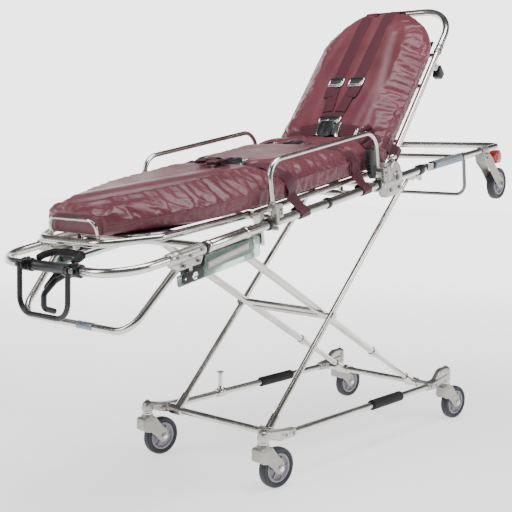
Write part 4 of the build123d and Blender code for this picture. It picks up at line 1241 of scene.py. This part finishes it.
def lock_and_guard(side, tag):
    """Lock housing with the clear green guard, its plain plate, boss and disc."""
    housing = Shape(LITTER)
    outline = [(-380, -66), (-100, -66), (-84, -54), (-82, -26), (-96, -18), (-296, -18), (-318, -34),
               (-380, -38)]
    housing.prism(outline, side * 241.5, side * 260, 4, 3)
    housing.prism([(-372, -62), (-318, -62), (-318, -42), (-372, -42)], side * 259, side * 261.8, 1.2, 2)
    for k in range(5):
        u = -286 + 34 * k
        housing.box((u, u + 22), (side * 259, side * 261.6), (-58, -28), 1.2)
    piece(housing, f"lock_housing_{tag}", BLACK, "litter", "black_plastic", "lock_housings")
    outline = [(-410, -82), (-72, -82), (-66, -74), (-62, -26), (-68, -22), (-296, -22), (-306, -50),
               (-410, -50), (-414, -54), (-414, -78)]
    panel = Shape(LITTER).prism(outline, side * 262, side * 265, 0.8, 2)
    piece(panel, f"guard_panel_{tag}", GREEN, "litter", "green_panel", "guard_panels")
    outline = [(-292, -62), (-112, -50), (-112, -30), (-292, -42)]
    plate = Shape(LITTER).prism(outline, side * 265.1, side * 266.2, 0.5, 2)
    piece(plate, f"guard_plate_{tag}", WHITE, "litter", "cast_alloy")
    rim = Shape(LITTER)
    corners = [(-290, -59.5), (-114, -48), (-114, -32.5), (-290, -44)]
    for (a, b), (c, d) in zip(corners, corners[1:] + corners[:1]):
        rim.tube([(a, side * 266.2, b), (c, side * 266.2, d)], 1.6, sides=8, ends=0.3)
    piece(rim, f"guard_plate_rim_{tag}", RED, "litter", "red_plastic")
    outline = [(-392, -78), (-318, -78), (-312, -70), (-312, -56), (-318, -50), (-392, -50), (-398, -58),
               (-398, -72)]
    boss = Shape(LITTER).prism(outline, side * 265.1, side * 269, 1.5, 3)
    piece(boss, f"guard_boss_{tag}", BLACK, "litter", "black_plastic")
    disc = Shape(LITTER)
    dished = [(0, 0), (11, 0), (11, 1.6), (9.6, 2.4), (7.5, 1.4), (0, 1.4)]
    disc.lathe((-350, side * 268.6, -64), (0, side, 0), dished, 40)
    for u, v, w in ((-388, 268.4, -64), (-92, 265, -74), (-92, 265, -32)):
        disc.knob((u, side * v, w), (0, side, 0), 3.4, 2.2, 0.8)
    piece(disc, f"guard_disc_{tag}", CHROME, "litter", "steel_pin")


def arm_mounts(side, tag):
    """Front bracket and large hinge casting that carry a side arm, with their bolts and knob."""
    out = (0, side, 0)
    front = Shape(LITTER)
    front.collar((-4, side * RAIL_V, 0), ALONG, 14.05, 20, 13, 2)
    front.prism([(-10, -4), (-1, -4), (-1, 58), (-10, 58)], side * 276, side * 296, 2, 2)
    front.box((-10, -1), (side * 262, side * 292), (-20, -8), 2)
    cast_piece(front, f"arm_bracket_front_{tag}", CAST, "litter", "cast_alloy", "arm_mounts", voxel=1.4,
               smooth=2)
    rear = Shape(LITTER)
    outline = [(598, -44), (672, -44), (690, -38), (704, -22), (707, 0), (706, 22), (696, 48), (684, 62),
               (668, 67), (655, 60), (644, 48), (628, 42), (621, 52), (618, 70), (598, 70)]
    rear.prism(outline, side * 249, side * 284, 5, 3)
    socket = [(0, -34), (17, -34), (20, -30), (20.6, 0), (20.6, 60), (19, 74), (0, 74)]
    rear.lathe((628, side * RAIL_V, 0), ALONG, socket, 44)
    rear.lathe((HINGE_U, side * 270, HINGE_W), out, [(0, 0), (24, 0), (22, 12), (18, 17), (0, 17)], 40)
    rear.prism([(597, 10), (611, 10), (611, 60), (597, 60)], side * 276, side * 296, 3, 3)
    rear.box((604, 680), (side * 252, side * 283), (-50, -40), 3)
    cast_piece(rear, f"arm_casting_rear_{tag}", CAST, "litter", "cast_alloy", "arm_mounts", voxel=1.8)
    steel = Shape(LITTER)
    for u in (627, 681):
        steel.knob((u, side * 283.5, -27), out, 7.4, 3.2, 1.2)
        steel.lathe((u, side * 286.5, -27), out, [(0, 0), (4, 0), (3.6, 0.6), (0, 0.6)], 6)
    steel.bolt((HINGE_U, side * 286.6, HINGE_W), out, 8, 3.5)
    steel.tube([(-10, side * 287, 28), (22, side * 287, 28)], 8)
    steel.tube([(574, side * 287, 28), (600, side * 287, 28)], 8)
    steel.tube([(HINGE_U, side * 222, HINGE_W), (HINGE_U, side * 250, HINGE_W)], 12)
    piece(steel, f"arm_mount_bolts_{tag}", STEEL, "litter", "steel_pin", "arm_mounts")
    turned = [(0, 0), (7, 0), (7, 6), (10, 9), (13.2, 13), (13.6, 17), (12.4, 21), (9, 24.4), (4.5, 26),
              (0, 26.4)]
    knob = Shape(LITTER).lathe((672, side * 268, 62), (0.15, 0, 1), turned, 40)
    piece(knob, f"arm_casting_knob_{tag}", CHROME, "litter", "steel_pin")


def side_arm(side, tag):
    """Folding side arm with its pivot feet and its release lever."""
    y, ends = side * 262, (12, 585)
    body = f"side_arm_{tag}"
    arm = Shape(LITTER)
    arm.tube([(ends[0], y, 44), (ends[0], y, 180), (ends[1], y, 180), (ends[1], y, 44)], 16, bend=60,
             sides=36)
    piece(arm, f"side_arm_tube_{tag}", ALU, body, "satin_tube", body)
    feet = Shape(LITTER)
    for u in ends:
        feet.box((u - 10, u + 10), (side * 252, side * 295), (41, 57), 2.5, 3)
        feet.box((u - 10, u + 10), (side * 279, side * 295), (16, 57), 2.5, 3)
        feet.collar((u, y, 60), UP, 8, 11, 10, 1.5)
    feet.box((555, 581), (y - 3, y + 3), (111, 125), 1.2)
    cast_piece(feet, f"side_arm_feet_{tag}", CAST, body, "cast_alloy", body, voxel=1.3, smooth=2)
    screws = Shape(LITTER)
    for u in ends:
        screws.bolt((u, side * 294.6, 40), (0, side, 0), 4.2, 2.6)
        screws.knob((u, side * 294.4, 28), (0, side, 0), 3.4, 2, 0.7)
    screws.tube([(559, y - 12, 118), (559, y + 12, 118)], 6)
    piece(screws, f"side_arm_screws_{tag}", STEEL, body, "steel_pin")
    lever = Shape(LITTER)
    grip = [(535, 126), (563, 127), (569, 120), (569, 96), (563, 60), (562, 34), (555, 26), (543, 27),
            (536, 40), (532, 70), (532, 100)]
    lever.prism(grip, y - 10, y + 10, 4, 3)
    for k in range(5):
        w = 44 + 11 * k
        lever.box((530, 539), (y - 9, y + 9), (w, w + 5), 2)
    piece(lever, f"arm_lever_grip_{tag}", BLACK, f"arm_lever_{tag}", "black_plastic", f"arm_lever_{tag}")


for side in SIDES:
    for fitting in (foot_casting, rail_fittings, lock_and_guard, arm_mounts, side_arm):
        fitting(side, TAG[side])


# ---------------------------------------------------------------- foot end
def crossbar():
    """Clamps, screws, plain sleeve and foam arc on the foot crossbar."""
    clamps, screws = Shape(LOOP), Shape(LOOP)
    clamp = [(12.6, 0), (17, 0), (18.5, 2), (18.5, 36), (17, 38), (12.6, 38), (12.6, 0)]
    for side in SIDES:
        y = side * 100
        clamps.lathe((0, y - 19, 0), ACROSS, clamp, 40)
        clamps.prism([(-36, -8), (-8, -14), (-4, 16), (-30, 15), (-38, 6)], side * 84, side * 91, 1.6, 3)
        screws.knob((0, y, 17.6), UP, 5, 4, 1.2)
        screws.knob((-17, y, -6), (-1, 0, -0.3), 5, 4, 1.2)
        screws.tube([(-30, side * 84, 2), (-30, side * 113, 2)], 8)
        screws.knob((-30, side * 109, 2), (0, side, 0), 7.5, 5, 1.4)
    piece(clamps, "crossbar_clamps", BLACK, "litter", "black_plastic", "foot_controls")
    piece(screws, "crossbar_screws", STEEL, "litter", "steel_pin", "foot_controls")
    profile = [(12.6, 0), (14.6, 0), (15.5, 1.5), (15.5, 16), (14.9, 17.5), (14.9, 137.5), (15.5, 139),
               (15.5, 153.5), (14.6, 155), (12.6, 155), (12.6, 0)]
    sleeve = Shape(LOOP).lathe((0, -77.5, 0), ACROSS, profile, 44)
    piece(sleeve, "crossbar_sleeve", BLACK, "litter", "black_plastic", "foot_controls")
    bend = [(-598, -74, 18), (-578, -72, 23), (-548, -60, 25), (-544, 0, 26), (-548, 60, 25), (-578, 72, 23),
            (-598, 74, 18)]
    arc = Shape(LITTER).tube(bend, 20, bend=22, sides=28, ends=4)
    obj = piece(arc, "crossbar_foam_grip", FOAM, "litter", "black_foam", "foot_controls")


def foot_handles():
    """Lift loop, the band on the lower bail, squeeze handle and release paddle."""
    loop = Shape(LOOP)
    loop.tube([(-30, -100, 10), (-30, -100, -128), (-30, 100, -128), (-30, 100, 10)], 15, bend=46, sides=32)
    eye = [(4.1, 0), (9, 0), (10, 1), (10, 11), (9, 12), (4.1, 12), (4.1, 0)]
    for side in SIDES:
        loop.lathe((-30, side * 100 - 6, 2), ACROSS, eye, 28)
    piece(loop, "lift_loop_bar", BLACK, "lift_loop", "black_plastic", "lift_loop")
    band = Shape(LITTER)
    band.collar((-572, -58, -165), ACROSS, 10.05, 10.9, 62, 0.5)
    band.collar((-572, -30, -165), ACROSS, 10.05, 11.3, 5, 0.5)
    piece(band, "lower_bail_band", RIBBED, "litter", "hub_plastic")
    hook = Shape(LITTER)
    bend = [(-566, 0, -27), (-608, 0, -36), (-650, 0, -60), (-657, 0, -98), (-620, 0, -118)]
    hook.tube(bend, 16, bend=16, sides=28, ends=4)
    hook.collar((-562, 0, -26), ACROSS, 4.1, 12, 18.5, 1.5)
    piece(hook, "squeeze_handle", BLACK, "control_handle", "black_plastic", "control_handle")
    paddle = Shape(LITTER)
    paddle.collar((-562, 34, -26), ACROSS, 4.1, 9, 27, 1.5)
    paddle.prism([(-566, -19), (-557, -33), (-604, -64), (-612, -66), (-617, -58), (-612, -50)], 24, 44, 3, 3)
    piece(paddle, "release_paddle", BLACK, "trigger", "black_plastic", "trigger")


crossbar()
foot_handles()


# ---------------------------------------------------------------- backrest and head end
def back_fittings():
    """Release knob and the rings where the backrest's bow joins its tubes."""
    knob = Shape(BACK)
    outline = [(526, -32), (520, -28), (486, -44), (484, -52), (490, -70), (496, -73), (514, -74), (520, -70)]
    knob.prism(outline, -250, -222, 5, 4)
    knob.tube([(505, -236, -34), (505, -236, -9)], 10)
    piece(knob, "release_knob", BLACK, "back_knob", "black_plastic", "back_knob")
    collars = Shape(BACK)
    for side in SIDES:
        collars.collar((562, side * 236, 0), ALONG, 11, 14.6, 16, 1.5)
        collars.collar((584, side * 236, 0), ALONG, 12.5, 13.8, 9, 1.0)
    piece(collars, "backrest_joint_rings", STEEL, "backrest", "steel_pin")


def drop_frame_sleeves(ribs=26):
    """Ribbed sleeves and black rings on the drop frame's tubes."""
    sleeves, rings = Shape(DROP), Shape(DROP)
    profile = [(12.6, 0), (15.2, 0), (16.2, 1.2)]
    for k in range(ribs):
        x = 6 + 190 * k / ribs
        profile += [(16.3, x), (16.3, x + 4.2), (15.6, x + 5.2), (15.6, x + 6.3)]
    profile += [(16.3, 197), (16.3, 201), (15.2, 202), (12.6, 202), (12.6, 0)]
    for side in SIDES:
        sleeves.lathe((44, side * RAIL_V, 0), ALONG, profile, 44)
        rings.collar((34, side * RAIL_V, 0), ALONG, 12.5, 16.6, 14, 1.6)
        rings.collar((252, side * RAIL_V, 0), ALONG, 12.5, 15.8, 8, 1.2)
    piece(sleeves, "drop_frame_sleeves", RIBBED, "drop_frame", "hub_plastic")
    piece(rings, "drop_frame_rings", BLACK, "drop_frame", "black_plastic")


def load_wheel(side, tag):
    """Loading wheel in its fork, with the red bumper beside it."""
    x, y, z = 546, side * RAIL_V, -149
    build_wheel(DROP, x, y, z, f"load_{tag}", f"load_wheel_{tag}", f"load_tyre_{tag}", f"load_hub_{tag}")
    fork = Shape(DROP)
    cheek = [(x - 138, -16), (x - 92, -14), (x - 66, -34), (x - 40, -72), (x - 4, z + 34), (x + 17, z + 14),
             (x + 20, z - 4), (x + 8, z - 18), (x - 14, z - 17), (x - 50, z + 18), (x - 92, -80),
             (x - 130, -48)]
    for face in SIDES:
        fork.prism(cheek, y + face * 17, y + face * 21.4, 1.2)
        fork.lathe((x, y + face * 21, z), (0, face, 0), [(0, 0), (11, 0), (10, 3.2), (9, 4.2), (0, 4.2)], 28)
    socket = [(12.6, 0), (16, 0), (17.5, 3), (17.5, 46), (16, 50), (12.6, 50), (12.6, 0)]
    fork.lathe((x - 136, y, 0), ALONG, socket, 40)
    fork.box((x - 134, x - 90), (y - 21.4, y + 21.4), (-42, -11), 5, 3)
    cast_piece(fork, f"load_fork_{tag}", CREAM, "drop_frame", "cast_alloy", "load_forks", voxel=1.6)
    steel = Shape(DROP)
    steel.tube([(x, y - 24, z), (x, y + 24, z)], 10)
    for face in SIDES:
        steel.bolt((x, y + face * 25.2, z), (0, face, 0), 6, 3.4)
        steel.knob((x - 112, y + face * 21.2, -28), (0, face, 0), 4.8, 3, 1)
    piece(steel, f"load_axle_{tag}", STEEL, "drop_frame", "steel_pin", "load_forks")
    bumper = Shape(DROP)
    v = side * 243
    outline = [(542, -40), (566, -72), (600, -74), (613, -60), (613, -36), (598, -20), (566, -21)]
    bumper.prism(outline, v - 17, v + 17, 6, 4)
    bumper.prism([(560, -30), (592, -30), (600, -62), (566, -62)], v - 20, v + 20, 4, 3)
    cast_piece(bumper, f"corner_bumper_{tag}", RED, "drop_frame", "red_plastic", "corner_bumpers", voxel=1.5,
               smooth=6)


def safety_bail(x=317, half=244):
    """Bail hung under the drop frame."""
    bow = Shape(DROP)
    bow.tube([(x, -half, 6), (x, -half, -157), (x, half, -157), (x, half, 6)], 13, bend=40, sides=30)
    piece(bow, "safety_bail_bar", STEEL, "head_bail", "steel_pin", "head_bail")
    bright = Shape(DROP)
    for side in SIDES:
        bright.collar((x, side * half, -6), UP, 6.5, 9, 14, 1.2)
        bright.collar((x, side * half, 0), ACROSS, 4.1, 9.5, 13, 1.2)
    piece(bright, "safety_bail_joints", CHROME, "head_bail", "steel_pin")


back_fittings()
drop_frame_sleeves()
for side in SIDES:
    load_wheel(side, TAG[side])
safety_bail()

# The CAD nodes that stay visible
for node in frame["nodes"].values():
    if not node.hide_render:
        smooth_shaded(node.data)
        node.data.set_sharp_from_angle(angle=deg(32))


# ---------------------------------------------------------------- studio
BACKDROP = (0.7715, 0.6362, 0)
WHITE_LIGHT = (1, 1, 1)


def area_light(name, place, target, size, power, tint=WHITE_LIGHT):
    data = bpy.data.lights.new(name, "AREA")
    data.shape = "RECTANGLE"
    data.size, data.size_y = size
    data.energy = power
    data.color = tint
    obj = bpy.data.objects.new(name, data)
    obj.location = place
    obj.rotation_euler = (Vector(target) - Vector(place)).to_track_quat("-Z", "Y").to_euler()
    bpy.context.scene.collection.objects.link(obj)


def flat_panel(name, corners, material):
    mesh = bpy.data.meshes.new(name)
    mesh.from_pydata([Vector(c) for c in corners], [], [list(range(len(corners)))])
    mesh.materials.append(material)
    obj = bpy.data.objects.new(name, mesh)
    bpy.context.scene.collection.objects.link(obj)
    return obj


def floor_material():
    """Pale sweep that glows more strongly towards the backdrop."""
    n = Nodes("studio_floor").set(Specular_IOR_Level=0.2)
    n.shader.inputs["Emission Color"].default_value = (*WHITE_LIGHT, 1)
    away = n.add("ShaderNodeVectorMath", operation="DOT_PRODUCT")
    away.inputs[1].default_value = BACKDROP
    n.link(n.coords.outputs["Object"], away.inputs[0])
    n.wire(n.ramp(away.outputs["Value"], 0.4, 4.5, 1.1, 2.9), "Emission Strength")
    n.wire(n.ramp(n.noise(0.7, 3), 0.3, 0.7, (0.88, 0.88, 0.885), (0.92, 0.92, 0.92)), "Base Color")
    n.wire(n.ramp(n.noise(30, 2), 0.3, 0.7, 0.55, 0.7), "Roughness")
    return n.mat


def sky_world(low, high):
    """Bright low backdrop in one direction, dim overhead and behind the camera."""
    sky = bpy.data.worlds.new("studio")
    sky.use_nodes = True
    tree = sky.node_tree

    def remap(source, a, b, c, d):
        node = tree.nodes.new("ShaderNodeMapRange")
        node.interpolation_type = "SMOOTHSTEP"
        for key, value in (("From Min", a), ("From Max", b), ("To Min", c), ("To Max", d)):
            node.inputs[key].default_value = value
        tree.links.new(source, node.inputs["Value"])
        return node.outputs["Result"]

    coords = tree.nodes.new("ShaderNodeTexCoord")
    split = tree.nodes.new("ShaderNodeSeparateXYZ")
    toward = tree.nodes.new("ShaderNodeVectorMath")
    toward.operation = "DOT_PRODUCT"
    toward.inputs[1].default_value = BACKDROP
    both = tree.nodes.new("ShaderNodeMath")
    both.operation = "MULTIPLY_ADD"
    tree.links.new(coords.outputs["Generated"], split.inputs[0])
    tree.links.new(coords.outputs["Generated"], toward.inputs[0])
    tree.links.new(remap(split.outputs["Z"], 0.12, 0.45, high, 0.0), both.inputs[0])
    tree.links.new(remap(toward.outputs["Value"], 0.1, 0.8, 0.05, 1.0), both.inputs[1])
    both.inputs[2].default_value = low
    background = tree.nodes["Background"]
    background.inputs["Color"].default_value = (*WHITE_LIGHT, 1)
    tree.links.new(both.outputs[0], background.inputs["Strength"])
    return sky


def studio_camera(place, yaw, pitch, roll, focal):
    """Camera at a place, turned by yaw, downward pitch and roll."""
    forward = Vector((math.cos(pitch) * math.cos(yaw), math.cos(pitch) * math.sin(yaw), -math.sin(pitch)))
    right = Vector((math.sin(yaw), -math.cos(yaw), 0))
    up = right.cross(forward)
    right, up = right * math.cos(roll) + up * math.sin(roll), up * math.cos(roll) - right * math.sin(roll)
    lens = bpy.data.cameras.new("camera")
    lens.lens, lens.sensor_width = focal, 36
    camera = bpy.data.objects.new("camera", lens)
    turn = Matrix((right, up, -forward)).transposed().to_4x4()
    camera.matrix_world = Matrix.Translation(place) @ turn
    bpy.context.scene.collection.objects.link(camera)
    return camera


flat_panel("floor", [(-14, -14, 0), (14, -14, 0), (14, 14, 0), (-14, 14, 0)], floor_material())
shade = plastic("flag_cloth", (0.02, 0.02, 0.02), (0.035, 0.033, 0.032), 0.9)
for name, corners in (
    ("flag_near", [(-4.2, -4.2, 0.2), (-0.9, -5.4, 0.2), (-0.9, -5.4, 1.5), (-4.2, -4.2, 1.5)]),
    ("flag_far", [(3.4, 3.6, 0.0), (5.0, 1.0, 0.0), (5.0, 1.0, 1.6), (3.4, 3.6, 1.6)]),
    ("flag_over", [(-1.6, 0.3, 3.4), (2.2, 0.3, 3.4), (2.2, 0.75, 3.5), (-1.6, 0.75, 3.5)]),
):
    flag = flat_panel(name, corners, shade)
    flag.visible_camera = flag.visible_shadow = flag.visible_diffuse = False

scene = bpy.context.scene
scene.world = sky_world(0.1, 3.4)
area_light("soft_top", (-0.5, -0.5, 3.4), (0.1, 0, 0.5), (2.6, 1.6), 95)
area_light("soft_left", (-3.2, 1.4, 2.5), (0, 0, 0.6), (1.4, 1.8), 50, (1, 0.99, 0.97))
area_light("soft_right", (1.4, -3.4, 2.2), (0.2, 0, 0.7), (1.2, 1.6), 42, (0.98, 0.99, 1))
scene.camera = studio_camera((-2.7073, -2.0761, 1.0218), deg(39.51), deg(5.97), deg(1.21), 69.46)
